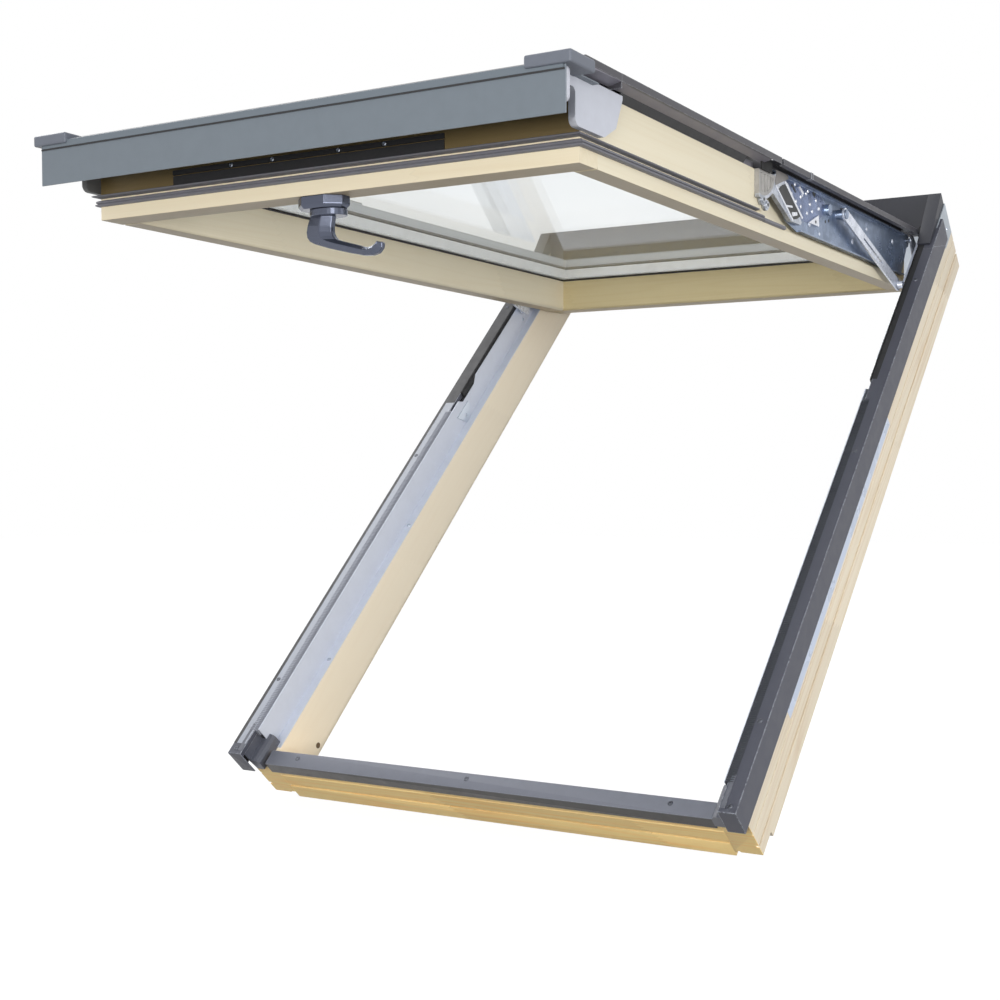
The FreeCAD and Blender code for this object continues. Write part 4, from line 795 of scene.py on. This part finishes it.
# Groove strips
# A ribbed grey rubber strip laps over the cladding's inner edge along the lower part of each
# groove; on the right a thin pale bar along it is painted highlight. Above the latch a black
# brush strip takes its place, behind the spring.
STRIP_OUTLINE = [(366.8, 114.0), (371.0, 114.0), (371.0, 125.4), (377.6, 125.4),
                 (378.4, 125.6), (367.8, 125.6), (366.8, 124.6)]
RIBBED_UP = (25.5, 700.0)
BRUSH_UP = (745.0, 1120.0)
BRUSH_PITCH = 1.3
HIGHLIGHT_BAR_X = (366.0, 366.8)
HIGHLIGHT_BAR_OUT = (121.0, 126.2)


def rib_tree():
    """A short bar on each point, tilted a little by chance."""
    tree, given, result = grown_tree("strip_ribs", ("Width", "Thickness", "Height", "Slant"))
    size = vector_of(tree, given["Width"], given["Thickness"], given["Height"])
    rib = add_node(tree, "GeometryNodeMeshCube", {"Size": size}).outputs["Mesh"]
    tilt = times(tree, by_chance(tree, -1.0, 1.0, 11), given["Slant"])
    rotation = rotation_of(tree, sum_up(tree, "ADD", tilt, ROOF_PITCH), tilt, 0.0)
    finish_tree(tree, given, result, rib, rotation)
    return tree


RIBS = rib_tree()


def rib_row(name, ends, pitch, x, out, sizes, slant, finish):
    """Ribs at an even spacing along both grooves. Sizes are width, thickness and height."""
    count = int((ends[1] - ends[0]) / pitch)
    places = [(x, ends[0] + (step + 0.5) * pitch, out) for step in range(count)]
    values = {label: size * MM for label, size in zip(("Width", "Thickness", "Height"), sizes)}
    grown(name, RIBS, on_both_sides(places, OUT), {**values, "Slant": slant}, finish, "frame")


strip_grey = plain_material("strip_rubber", (0.50, 0.51, 0.55), 0.6, bump=0.15)
second_tone(strip_grey, [(0, 0.0, 0.5)], (0.20, 0.21, 0.24))
strip_black = plain_material("brush_black", (0.10, 0.10, 0.11), 0.65, bump=0.2)
for name, ends, finish in (("ribbed_edge_strips", RIBBED_UP, strip_grey),
                           ("brush_carriers", BRUSH_UP, strip_black)):
    piece(name, both_sides(extruded(STRIP_OUTLINE, ends, "y")), finish, "frame")
# Painted highlight: a thin pale bar along the right groove's edge.
piece("right_strip_highlight", [bar(HIGHLIGHT_BAR_X, RIBBED_UP, HIGHLIGHT_BAR_OUT)],
      plain_material("strip_highlight_white", (0.90, 0.91, 0.95), 0.3), "frame")
rib_row("edge_strip_ribs", RIBBED_UP, SEAL_RIB_PITCH, 372.6, 125.7, (11.0, 1.2, 1.2), 0.0,
        strip_grey)
rib_row("brush_hairs", BRUSH_UP, BRUSH_PITCH, 369.0, 122.0, (2.6, 0.35, 9.0), 0.30,
        strip_black)

# Corner blocks
# Black moulded wedges that close the corner between the side and bottom cladding, screwed to
# the posts' ledges. The left one starts a little further out.
BLOCK_UP = (-10.0, 37.0)
RIGHT_BLOCK_INNER = 352.0
LEFT_BLOCK_INNER = 357.5
BLOCK_HOOK = [(372.4, 103.1), (373.0, 125.6), (379.0, 126.3), (379.5, 117.0), (375.6, 113.5),
              (374.8, 108.0), (374.2, 102.0), (371.0, 82.2)]


def block_shape(inner):
    """One wedge, from its inner side to the hook over the cladding's edge."""
    outline = [(inner, 82.2), (inner, 96.5), (inner + 3.0, 101.0), (inner + 8.0, 102.8)]
    shape = extruded(outline + BLOCK_HOOK, BLOCK_UP, "y")
    bmesh.ops.triangulate(shape, faces=[face for face in shape.faces if len(face.verts) > 4])
    return shape


black_plastic = plain_material("black_moulding", (0.33, 0.34, 0.38), 0.38, mottle=0.05,
                               scale=90.0, bump=0.1)
blocks = piece("corner_wedge_blocks",
               [block_shape(RIGHT_BLOCK_INNER), mirrored(block_shape(LEFT_BLOCK_INNER))],
               black_plastic, "frame")
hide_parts("corner_blocks")
round_edges(blocks, 0.0012)

# Side strips
# Smooth pale protective strips, pressed into the posts' outer faces beside the cladding.
film = plain_material("side_strip", (0.80, 0.84, 0.92), 0.28, mottle=0.03, scale=25.0,
                      bump=0.25, bump_depth=0.0006)
dress(film, "side_strips")

# Hood and top hinge
# A charcoal coated hood with zinc end plates over the top rail, and below it the zinc back
# plates of the hinges. A black block at the upper end of each groove is painted shade.
GROOVE_SHADE_BLOCK = [(352.0, 82.1), (388.0, 82.1), (388.0, 121.0), (352.0, 114.0)]
GROOVE_SHADE_BLOCK_UP = (1123.0, 1142.5)
BACK_PLATE_X = (296.0, 351.3)
BACK_PLATE_UP = (1141.6, 1142.8)
BACK_PLATE_OUT = (6.0, 116.0)
HOOD_END_SCREWS = [(390.0, 1158.0, 92.0), (390.0, 1112.0, 114.0)]

charcoal = plain_material("charcoal_coat", (0.19, 0.195, 0.225), 0.45, mottle=0.03, bump=0.05,
                          wear_and_highlight=0.3, wear_and_highlight_colour=(0.42, 0.43, 0.47))
dress(charcoal, "top_hood", soft=0.0007)
# Painted shade: a black finish for blocks put where the grooves' ends and the pivot's gap lie in
# shade.
shade_black = plain_material("painted_shade_black", (0.08, 0.08, 0.085), 0.75, bump=0.3)
piece("groove_end_shade", both_sides(extruded(GROOVE_SHADE_BLOCK, GROOVE_SHADE_BLOCK_UP, "y")), shade_black,
      "frame")
plates = piece("hinge_back_plates",
               both_sides(bar(BACK_PLATE_X, BACK_PLATE_UP, BACK_PLATE_OUT)), zinc, "frame")
round_edges(plates, 0.0003)
dull_zinc = plain_material("dull_zinc", (0.70, 0.73, 0.76), 0.45, metallic=0.7, mottle=0.1,
                           scale=30.0)
dress(dull_zinc, "hood_ends", soft=0.0003)
screws("hood_end_screws", on_both_sides(HOOD_END_SCREWS, RIGHT), bright_screw, "frame",
       radius=3.0, height=1.0)

# Sash arms, middle pivot and struts
# Pressed steel channels, bright zinc plated with a fine spangle. Each carries a slotted
# cradle, a round boss, rivets and the stud that the slotted strut turns on.
ARM_FACE = 338.0
ARM_RIVET_HEIGHT = 1.1
ARM_RIVETS = {
    # piece: head radius, then (up, out) of each rivet
    "arm_rivets_26": (2.6, [(700.0, 96.0), (706.0, 62.0)]),
    "arm_rivets_30": (3.0, [(640.0, 105.0), (905.0, 100.0), (960.0, 66.0)]),
    "arm_rivets_40": (4.0, [(668.0, 70.0), (842.0, 72.0), (1030.0, 100.0)]),
}


def spangle_group():
    """Crystal pattern of a hot zinc coat: patches that differ a little in tone and slope."""
    tree, given, result = group_tree("zinc_spangle", [
        ("Vector", "NodeSocketVector", (0, 0, 0)),
        ("Patch size", "NodeSocketFloat", 0.006),
    ], [("Tone", "NodeSocketFloat"), ("Height", "NodeSocketFloat")])
    wobble = times(tree, noise(tree, given["Vector"], 120.0), 0.004)
    bent = vector_sum(tree, "ADD", given["Vector"], wobble)
    patches = add_node(tree, "ShaderNodeTexVoronoi",
                       {"Vector": bent, "Scale": sum_up(tree, "DIVIDE", 1.0, given["Patch size"])})
    patch = add_node(tree, "ShaderNodeSeparateColor", {0: patches.outputs["Color"]}).outputs
    large = noise(tree, given["Vector"], 30.0, 4.0, 0.65)
    tone = times(tree, spread(tree, patch[0], 0.0, 1.0, 0.82, 1.08),
                 spread(tree, large, 0.3, 0.7, 0.72, 1.12))
    feed(tree, result, {"Tone": tone,
                        "Height": sum_up(tree, "ADD", patch[1], times(tree, large, 4.0))})
    return tree


ZINC_SPANGLE = spangle_group()


def spangled_metal(name, colour, roughness, patch, strength, metallic=0.75):
    material, tree, shader = new_material(name)
    place = object_place(tree)
    pattern = effect(tree, ZINC_SPANGLE, {"Vector": place, "Patch size": patch})
    tone = shaded(tree, srgb(colour), pattern["Tone"])
    # Its pale corners are painted highlight along the edges.
    feed(tree, shader, {
        "Base Color": worn_and_highlit(tree, place, tone, (0.92, 0.94, 0.97), 0.0009, 0.8),
        "Metallic": metallic,
        "Roughness": spread(tree, pattern["Tone"], 0.6, 1.1, roughness + 0.08, roughness - 0.05),
        "Normal": uneven(tree, pattern["Height"], strength, 0.0012)})
    return material


arm_zinc = spangled_metal("arm_zinc", (0.53, 0.59, 0.69), 0.30, 0.009, 0.12)
cradle_zinc = spangled_metal("cradle_zinc", (0.76, 0.78, 0.82), 0.34, 0.004, 0.08)
strut_zinc = spangled_metal("strut_zinc", (0.88, 0.90, 0.95), 0.30, 0.004, 0.06, metallic=0.5)
dress(arm_zinc, "left_arm", "right_arm", soft=0.0004)
dress(cradle_zinc, "pivot_cradles", "hinge_brackets", soft=0.0004)
dress(strut_zinc, "left_strut", "right_strut", soft=0.0004)
for name, (radius, spots) in ARM_RIVETS.items():
    rivets(name, [(ARM_FACE, up, out) for up, out in spots], strut_zinc, radius,
           ARM_RIVET_HEIGHT)

# Pivot details
# The plates welded round the pivot: a brushed band behind the disc; in the cradle's slot a
# black plate of painted shade, pale strips of painted highlight along its edges, and clips;
# and on the arm's web a darker blue, riveted patch of painted reflection.
CRADLE_FACE = 345.0
BRUSHED_BAND = [(527.4, 101.0), (530.4, 108.0), (532.2, 117.4), (571.5, 117.4), (573.0, 113.4),
                (560.0, 108.4), (530.0, 97.4)]
SLOT_SHADE_OUTLINE = [(536.0, 92.0), (552.0, 101.5), (562.0, 104.5), (590.0, 87.0), (615.0, 71.0),
                (604.0, 66.0), (588.0, 62.5), (569.5, 74.5)]
SLOT_HIGHLIGHT_RIMS = ([(528.6, 96.4), (530.8, 97.6), (570.8, 74.0), (589.4, 62.6), (587.4, 60.6),
              (568.6, 71.6)],
             [(557.6, 106.8), (561.4, 109.0), (624.0, 70.6), (620.6, 68.2)])
SLIDER_CLIPS = ([(562.6, 77.6), (586.0, 80.4), (587.0, 78.0), (563.6, 75.2)],
                [(584.0, 71.6), (603.0, 74.6), (604.2, 70.6), (587.0, 66.6)])
REFLECTION_PATCH = [(576.0, 110.0), (582.0, 116.4), (702.0, 116.4), (724.0, 108.0), (719.0, 90.0),
              (698.0, 78.0), (655.0, 70.0), (625.6, 71.0), (592.0, 92.0)]
PATCH_HOLES = ([(598.5, 111.4), (604.4, 112.8), (618.0, 104.3), (613.5, 103.2)],
               [(677.0, 116.0), (689.0, 116.0), (687.0, 109.4), (680.4, 110.6)],
               [(787.4, 111.6), (797.8, 113.6), (819.5, 102.6), (807.0, 101.8)])
WEB_CLIPS = ([(621.0, 112.0), (626.0, 114.4), (641.0, 106.4), (636.0, 104.4)],
             [(658.3, 70.4), (696.0, 86.6), (697.9, 70.6)],
             [(793.0, 100.7), (824.9, 102.3), (826.7, 98.9), (796.6, 95.9)])
PATCH_RIVETS = [(632.9, 101.0), (652.9, 109.0), (690.0, 106.0), (633.4, 88.0), (656.5, 82.8),
                (702.2, 96.8), (600.0, 100.0), (616.0, 92.0), (668.0, 97.0), (612.0, 114.0),
                (660.0, 113.5), (676.0, 88.5)]
DARK_DOTS = [(CRADLE_FACE, 493.0, 73.0), (CRADLE_FACE, 506.0, 68.0), (341.2, 684.0, 75.2),
             (ARM_FACE, 742.0, 86.4), (ARM_FACE, 729.0, 83.0)]

brushed = plain_material("brushed_band_steel", (0.50, 0.485, 0.475), 0.36, metallic=0.35,
                         mottle=0.10, scale=140.0, bump=0.1)
slot_shade_black = plain_material("slot_shade_black", (0.09, 0.10, 0.10), 0.45, bump=0.05)
highlight_and_fitting_metal = plain_material("slot_highlight_and_fitting_metal", (0.90, 0.91, 0.94), 0.25, metallic=0.5,
                           mottle=0.03)
reflection_zinc = spangled_metal("reflection_zinc", (0.46, 0.52, 0.66), 0.26, 0.011, 0.35)
# The slot's black plate and the dark slots are painted shade, its pale rims painted highlight, and
# the darker blue patch painted reflection.
PIVOT_PLATES = (
    # name, outlines, face, how far in and out it reaches, finish, slot, rounding of its edges
    ("brushed_bands", [BRUSHED_BAND], CRADLE_FACE, (0.0, 0.4), brushed, "hinge_zinc", 0.0),
    ("cradle_slot_shade", [SLOT_SHADE_OUTLINE], CRADLE_FACE, (-0.2, 0.3), slot_shade_black,
     "black_plastic", 0.0),
    ("slot_highlight_rims", SLOT_HIGHLIGHT_RIMS, CRADLE_FACE, (-0.2, 1.2), highlight_and_fitting_metal, "hinge_zinc", 0.0003),
    ("slider_clips", SLIDER_CLIPS, CRADLE_FACE, (0.0, 0.9), highlight_and_fitting_metal, "hinge_zinc", 0.0),
    ("reflection_patches", [REFLECTION_PATCH], ARM_FACE, (-0.2, 0.4), reflection_zinc, "hinge_zinc", 0.0),
    ("patch_slots", PATCH_HOLES, ARM_FACE, (-0.1, 0.7), slot_shade_black, "black_plastic", 0.0),
    ("web_clips", WEB_CLIPS, ARM_FACE, (0.0, 3.0), highlight_and_fitting_metal, "hinge_zinc", 0.0004),
)
for name, outlines, face, (depth, height), finish, slot, rounding in PIVOT_PLATES:
    ends = (face + depth, face + height)
    plate = piece(name, both_sides(*[extruded(outline, ends, "x") for outline in outlines]),
                  finish, "arms")
    if rounding:
        round_edges(plate, rounding)
rivets("patch_rivets", [(ARM_FACE + 0.4, up, out) for up, out in PATCH_RIVETS], highlight_and_fitting_metal,
       2.6, 1.4)
# The dark dots are painted shade in holes.
rivets("pivot_dark_dots", DARK_DOTS, slot_shade_black, 2.3, 0.5)

# Upper side covers
# Folded covers that stay with the arms, in the dark grey coat; their lower lip is painted
# paler as painted light. A thin sleeve hides the joint between their two lengths, its pale
# edges painted highlight.
COVER_TOP = 128.4
COVER_HALF_WIDTH = 359.5
COVER_SIDE_LOW = 120.4
COVER_LIP_X = 353.0
COVER_LIP_LOW = 119.4
SLEEVE_BANDS = (
    # name, colour, ends of each band, how far it stands out
    ("cover_joint_highlights", (0.62, 0.63, 0.66), ((617.4, 619.2), (623.0, 624.8)), 0.6),
    ("cover_joint_bands", (0.16, 0.16, 0.17), ((619.2, 623.0),), 0.3),
)
ARM_LIP_ZONE = (2, 0.84, 0.8586)
LIP_LIGHT_TONE = (0.50, 0.49, 0.53)


def cover_coat(name, roughness=0.36):
    # Its pale edges are painted highlight along the folds.
    return plain_material(name, (0.30, 0.295, 0.315), roughness, mottle=0.03, bump=0.05,
                          wear_and_highlight=0.9, wear_and_highlight_colour=(0.68, 0.69, 0.72), wear_and_highlight_width=0.0015,
                          shine=0.3)


def sleeve(ends, proud):
    """Thin channel round the cover's top edge, side and lower lip."""
    outline = [
        (COVER_HALF_WIDTH - 6.0, COVER_TOP), (COVER_HALF_WIDTH - 6.0, COVER_TOP + proud),
        (COVER_HALF_WIDTH + proud, COVER_TOP + proud),
        (COVER_HALF_WIDTH + proud, COVER_SIDE_LOW - proud),
        (COVER_LIP_X, COVER_LIP_LOW - proud), (COVER_LIP_X, COVER_LIP_LOW),
        (COVER_HALF_WIDTH, COVER_SIDE_LOW), (COVER_HALF_WIDTH, COVER_TOP)]
    return extruded(outline, ends, "y")


# Painted light: the arm covers' lower lip is coloured paler.
dress(second_tone(cover_coat("cover_grey", 0.40), [ARM_LIP_ZONE], LIP_LIGHT_TONE),
      "left_arm_cover", "right_arm_cover", soft=0.0005)
# The sleeve's pale edge bands are painted highlight.
for name, colour, bands, proud in SLEEVE_BANDS:
    piece(name, both_sides(*[sleeve(ends, proud) for ends in bands]),
          plain_material(name, colour, 0.4), "arms")

# Sash timber
# Lacquered pale pine: two stiles and two rails with a flange towards the room. Their
# undersides and the face of the bottom rail are painted darker as painted shade, and the top
# rail is a darker, shaded copy of the same pine.
STILE_FINISH = ((0.94, 0.90, 0.80), (0.87, 0.79, 0.63))
SASH_RAIL_FINISH = ((0.94, 0.89, 0.78), (0.87, 0.79, 0.63))
TOP_RAIL_SHADED_FINISH = ((0.83, 0.77, 0.60), (0.76, 0.67, 0.47))
SASH_RAIL_SEED = 6.41
LACQUER = 0.12
UNDERSIDE = [(2, 0.76, 0.77015)]
UNDERSIDE_SHADE_TONE = (0.68, 0.60, 0.47)
FRONT_SHADE = [(1, -0.40, -0.3683), (2, 0.7985, 0.90)]
FRONT_SHADE_TONE = (0.47, 0.40, 0.25)

stile_pine = pine_material("stile_pine", STILE_FINISH, ALONG_Y, 2.62, 0.55, 0.22, LACQUER)
# Painted shade: the top rail's pine is a darker copy of the other rails'.
top_rail_shaded_pine = pine_material("sash_top_rail_shaded_pine", TOP_RAIL_SHADED_FINISH, ALONG_X, SASH_RAIL_SEED, 0.52,
                              0.30, LACQUER)
front_rail_pine = pine_material("front_rail_pine", SASH_RAIL_FINISH, ALONG_X, SASH_RAIL_SEED,
                                0.52, 0.30, LACQUER)
# Painted shade: the bottom rail's face is coloured darker.
second_tone(front_rail_pine, FRONT_SHADE, FRONT_SHADE_TONE)
# Painted shade: the undersides are coloured darker.
for timber, *names in ((stile_pine, "left_stile", "right_stile"),
                       (front_rail_pine, "sash_bottom_rail"), (top_rail_shaded_pine, "sash_top_rail")):
    dress(second_tone(timber, UNDERSIDE, UNDERSIDE_SHADE_TONE), *names, soft=0.0008)

# Glass and its gaskets
# A sealed double pane with a faint green edge and a pale spacer bar between its panes. It
# lies between a black outer gasket and a thin black bead along the timber inside.
GLASS_BACK = 86.0
GLASS_PATH = [(-308.5, 80.0), (308.5, 80.0), (308.5, 1080.5), (-308.5, 1080.5)]
CORNER_WAYS = [(-1, -1), (1, -1), (1, 1), (-1, 1)]
BEAD_WIDTH = 2.2
BEAD_THICKNESS = 1.6
BEAD_PROFILE = [(-0.05, GLASS_BACK - 0.1), (-0.05, GLASS_BACK - BEAD_THICKNESS),
                (-BEAD_WIDTH * 0.6, GLASS_BACK - BEAD_THICKNESS),
                (-BEAD_WIDTH, GLASS_BACK - 0.1)]
SPACER_PROFILE = [(-0.1, 90.1), (-11.0, 90.1), (-11.0, 105.9), (-0.1, 105.9)]

glass, tree, shader = new_material("double_glass")
haze = spread(tree, noise(tree, object_place(tree), 2.2), 0.3, 0.7)
feed(tree, shader, {
    "Base Color": blend_colour(tree, haze, srgb((0.98, 0.985, 0.985)),
                               srgb((0.95, 0.96, 0.965))),
    "Roughness": 0.0, "IOR": 1.05, "Transmission Weight": 1.0, "Metallic": 0.0})
dress(glass, "glass_unit")
matt_rubber = plain_material("matt_rubber", (0.15, 0.15, 0.16), 0.6, bump=0.2)
dress(matt_rubber, "glazing_gasket")


def swept(path, outward, profile, closed):
    """Run a profile of (outward, out) points round a flat path of (x, up) points."""
    return lofted([[(x + dx * reach, up + dy * reach, out) for reach, out in profile]
                   for (x, up), (dx, dy) in zip(path, outward)], closed)


piece("inner_glazing_bead", [swept(GLASS_PATH, CORNER_WAYS, BEAD_PROFILE, True)],
      matt_rubber, "sash")
piece("pane_spacer", [swept(GLASS_PATH, CORNER_WAYS, SPACER_PROFILE, True)],
      plain_material("spacer_bar", (0.95, 0.955, 0.96), 0.5), "sash")

# Sash cladding
# Coated covers over the sash, with pale inner edges and noses that slope down to the lower
# corners. A fascia lies along the lower edge, with moulded caps on its corners; its paler
# grey is painted reflection on the dark coat.
PALE_EDGE = (0.90, 0.91, 0.92)
BELOW_TOP = (2, 0.80, 0.8668)
UP_TO_END = (1, -0.45, 0.6572)
SIDE_EDGES = [[(0, -0.2978, -0.2955), UP_TO_END, BELOW_TOP],
              [(0, 0.2955, 0.2978), UP_TO_END, BELOW_TOP]]
TOP_EDGE = [(1, 0.6550, 0.6572), (0, -0.2978, 0.2978), BELOW_TOP]
SIDE_LIP_ZONE = (2, 0.84, 0.8590)
FASCIA_SHEEN_TONE = (0.44, 0.475, 0.51)
FASCIA_ZONE = (1, -0.45, -0.4325)
NOSE_LIP = [(343.9, 116.8), (343.9, 117.8), (358.4, 121.2), (358.4, 127.4), (344.0, 127.4),
            (344.0, 128.3), (359.4, 128.3), (359.4, 120.4)]
NOSE_DROP = {116.0: 0.0, 46.0: 1.5, -10.0: 8.5}
CAP_X = (317.0, 370.4)
CAP_UP = (-27.0, 20.0)
CAP_OUT = (108.4, 121.0)
FASCIA_SHADOW_X = (-361.0, 361.0)
FASCIA_SHADOW_UP = (-23.6, -22.3)
FASCIA_SHADOW_OUT = (103.4, 105.2)

side_coat = second_tone(cover_coat("side_cover_coat"), [SIDE_LIP_ZONE], LIP_LIGHT_TONE)
glazing_coat = cover_coat("glazing_cover_coat")
for zone in SIDE_EDGES:
    second_tone(side_coat, zone, PALE_EDGE)
for zone in SIDE_EDGES + [TOP_EDGE]:
    second_tone(glazing_coat, zone, PALE_EDGE)
# Painted reflection: the fascia and the bottom cover's front strip are coloured a paler grey.
bottom_coat = second_tone(cover_coat("bottom_cover_coat"), [FASCIA_ZONE], FASCIA_SHEEN_TONE)
fascia_sheen_grey = plain_material("fascia_sheen_grey", FASCIA_SHEEN_TONE, 0.38, mottle=0.03, bump=0.05,
                             wear_and_highlight=0.35, wear_and_highlight_colour=(0.66, 0.69, 0.72))
dress(side_coat, "left_side_cover", "right_side_cover", soft=0.0005)
dress(glazing_coat, "glazing_covers", "top_cover", soft=0.0005)
dress(bottom_coat, "bottom_cover", soft=0.0005)
dress(fascia_sheen_grey, "sash_fascia", soft=0.0005)
nose = lofted([[(x, up, out - drop) for x, out in NOSE_LIP] for up, drop in NOSE_DROP.items()])
piece("side_cover_noses", both_sides(nose), side_coat, "sash")
caps = piece("corner_cap_mouldings", both_sides(bar(CAP_X, CAP_UP, CAP_OUT)),
             plain_material("cap_grey", (0.41, 0.43, 0.475), 0.40, mottle=0.04, bump=0.1),
             "sash")
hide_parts("corner_caps")
round_edges(caps, 0.0022, segments=3)
# Painted shadow: a thin black strip under the bottom cover's lip.
piece("fascia_shadow_strip", [bar(FASCIA_SHADOW_X, FASCIA_SHADOW_UP, FASCIA_SHADOW_OUT)],
      matt_rubber, "sash")

# Side cover gaskets
# A flat black rubber strip under the lip of each lower side cover, pushed into its fold. A
# black block on the arm beside the pivot is painted shade in the gap there.
GASKET_OUTLINE = [(344.2, 117.0), (343.6, 115.6), (338.2, 109.2), (338.2, 112.2),
                  (342.6, 117.2)]
GASKET_UP = (118.0, 442.0)
SHADE_BLOCK_X = (346.5, 348.0)
SHADE_BLOCK_UP = (478.0, 512.0)
SHADE_BLOCK_OUT = (108.0, 125.0)

# Painted shade: a black block fills the gap beside the pivot.
piece("pivot_shade_block", both_sides(bar(SHADE_BLOCK_X, SHADE_BLOCK_UP, SHADE_BLOCK_OUT)), shade_black, "arms")
piece("side_cover_gaskets", both_sides(extruded(GASKET_OUTLINE, GASKET_UP, "y")), matt_rubber,
      "sash")

# End brackets
# Light grey moulded plates with rounded edges, clipped on the sash's lower corners. They
# carry the fascia. The left one is coloured darker as painted shade.
bracket_grey = plain_material("bracket_grey", (0.80, 0.81, 0.85), 0.5, mottle=0.03,
                              scale=70.0, bump=0.15)
# Painted shade: the left bracket is coloured darker.
second_tone(bracket_grey, [(0, -0.5, 0.0)], (0.36, 0.36, 0.36))
dress(bracket_grey, "end_brackets", soft=0.0012)

# Sash seals and vent strip
# Grey rubber seals round the sash's lower half: a hollow band beside the flange, with ears
# that stick out at the lower corners, and a thin fin in the groove above. A black vent strip
# with a rubber flap is screwed along the bottom rail.
SASH_EDGE = 338.0
SASH_BOTTOM = 43.5
SEAL_RUNS = (
    # upper end, reach in front for each unit at the side, profile of (outward, out)
    (500.0, 0.66, [(0.0, 47.0), (3.4, 47.0), (5.9, 48.0), (6.0, 49.4), (3.4, 50.2),
                   (5.2, 51.4), (5.0, 53.2), (3.0, 54.4), (0.0, 54.4)]),
    (482.0, 1.60, [(0.0, 56.6), (5.2, 57.6), (6.2, 58.6), (5.2, 59.6), (0.0, 60.4)]),
)
BAND_TAIL = [(330.1, 47.0), (340.0, 47.0), (342.0, 48.4), (341.0, 51.8), (330.1, 51.8)]
BAND_TAIL_UP = (503.2, 575.0)
FLAP_UP = (42.3, 43.7)
FLAP_OUT = (61.5, 72.0)
VENT_SCREW_XS = (-124.2, -62.4, 32.6, 95.8)
VENT_FACE = 41.5
VENT_MIDDLE = 75.8

seal_shapes = both_sides(extruded(BAND_TAIL, BAND_TAIL_UP, "y"))
for upper_end, front_share, profile in SEAL_RUNS:
    path = [(-SASH_EDGE, upper_end), (-SASH_EDGE, SASH_BOTTOM), (SASH_EDGE, SASH_BOTTOM),
            (SASH_EDGE, upper_end)]
    outward = [(-1, 0), (-1, -front_share), (1, -front_share), (1, 0)]
    seal_shapes.append(swept(path, outward, profile, False))
seals = piece("sash_rubber_seals", seal_shapes,
              plain_material("grey_rubber", (0.44, 0.44, 0.47), 0.5, bump=0.2), "sash")
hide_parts("sash_seals")

dress(strip_black, "vent_strip")
vent_low, vent_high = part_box("vent_strip")
piece("vent_flap", [bar((vent_low[0] / MM, vent_high[0] / MM), FLAP_UP, FLAP_OUT)],
      matt_rubber, "sash")
screws("vent_strip_screws", [((x, VENT_FACE, VENT_MIDDLE), DOWN_SLOPE) for x in VENT_SCREW_XS],
       bright_screw, "sash", radius=2.6, height=0.9, recess=0.7)

# Pivot discs
# Cast and blasted half discs on the stiles, ribbed inside a rim, that turn in the cradles.
cast_grey = plain_material("cast_grey", (0.66, 0.65, 0.64), 0.5, metallic=0.35, mottle=0.12,
                           scale=110.0, bump=0.5, wear_and_highlight=0.5, wear_and_highlight_colour=(0.86, 0.86, 0.85))
dress(cast_grey, "pivot_discs", soft=0.0004)

# Handle
# Satin anodised aluminium: a faceted base on the bottom rail, and a wide stem that bends into
# a flat grip with an upturned end. Stem and grip are one bar on an oval hub.
BASE_CENTRE = (-5.0, 62.0)
BASE_HALF = (32.0, 18.0)
BASE_RINGS = ((31.0, 1.0), (21.0, 1.0), (17.2, 0.88))
BASE_CORNERS = [(-1.0, -0.35), (-0.55, -1.0), (0.45, -1.0), (1.0, -0.35), (1.0, 0.35),
                (0.45, 1.0), (-0.55, 1.0), (-1.0, 0.35)]
HUB_CENTRE = (1.5, 62.0)
HUB_HALF = (24.2, 15.0)
HUB_OUT = (9.4, 17.0)
HUB_SIDES = 32
# The stem's outer and inner edge, as (x, out) pairs from the hub to the tip.
LEVER_STATIONS = [
    ((-22.2, 13.5), (10.5, 13.5)), ((-24.4, 9.6), (8.6, 8.0)), ((-27.9, 1.4), (7.1, -2.5)),
    ((-29.3, -6.0), (7.4, -8.0)), ((-28.4, -12.0), (9.6, -13.0)),
    ((-24.5, -16.6), (13.0, -16.2)), ((-17.0, -20.0), (17.5, -18.0)),
    ((3.0, -26.1), (24.5, -19.9)), ((31.5, -33.0), (42.8, -24.8)),
    ((51.5, -37.3), (54.0, -28.3)), ((64.0, -38.0), (60.0, -28.6)),
    ((72.5, -36.0), (64.4, -27.6)), ((77.5, -30.5), (68.2, -25.6)),
    ((78.0, -24.6), (71.0, -23.4)),
]
# Round the bar: the share of the way from its outer to its inner edge, and how far up.
LEVER_SECTION = [(0.0, 60.0), (0.6, 55.0), (1.0, 59.5), (1.0, 66.5), (0.5, 69.0), (0.0, 65.5)]


def oval(centre, half, spots):
    """Points round a centre, from shares of the half sizes."""
    return [(centre[0] + half[0] * x, centre[1] + half[1] * up) for x, up in spots]


satin = plain_material("satin_aluminium", (0.34, 0.36, 0.42), 0.22, metallic=0.7, mottle=0.0,
                       scale=40.0, bump=0.0)
base_rings = [[(x, up, out) for x, up in
               oval(BASE_CENTRE, [half * share for half in BASE_HALF], BASE_CORNERS)]
              for out, share in BASE_RINGS]
base = piece("faceted_base", [lofted(base_rings)], satin, "sash")
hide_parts("handle_base")
round_edges(base, 0.0008, angle=20.0)

turns = [math.tau * step / HUB_SIDES for step in range(HUB_SIDES)]
hub_outline = oval(HUB_CENTRE, HUB_HALF, [(math.cos(turn), math.sin(turn)) for turn in turns])
lever_rings = []
for outer, inner in LEVER_STATIONS:
    spots = [(Vector(outer).lerp(Vector(inner), share), up) for share, up in LEVER_SECTION]
    lever_rings.append([(spot.x, up, spot.y) for spot, up in spots])
lever = piece("faceted_lever", [extruded(hub_outline, HUB_OUT, "z"), lofted(lever_rings)],
              satin, "handle")
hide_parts("handle_lever")
round_edges(lever, 0.0009, segments=3, angle=18.0)
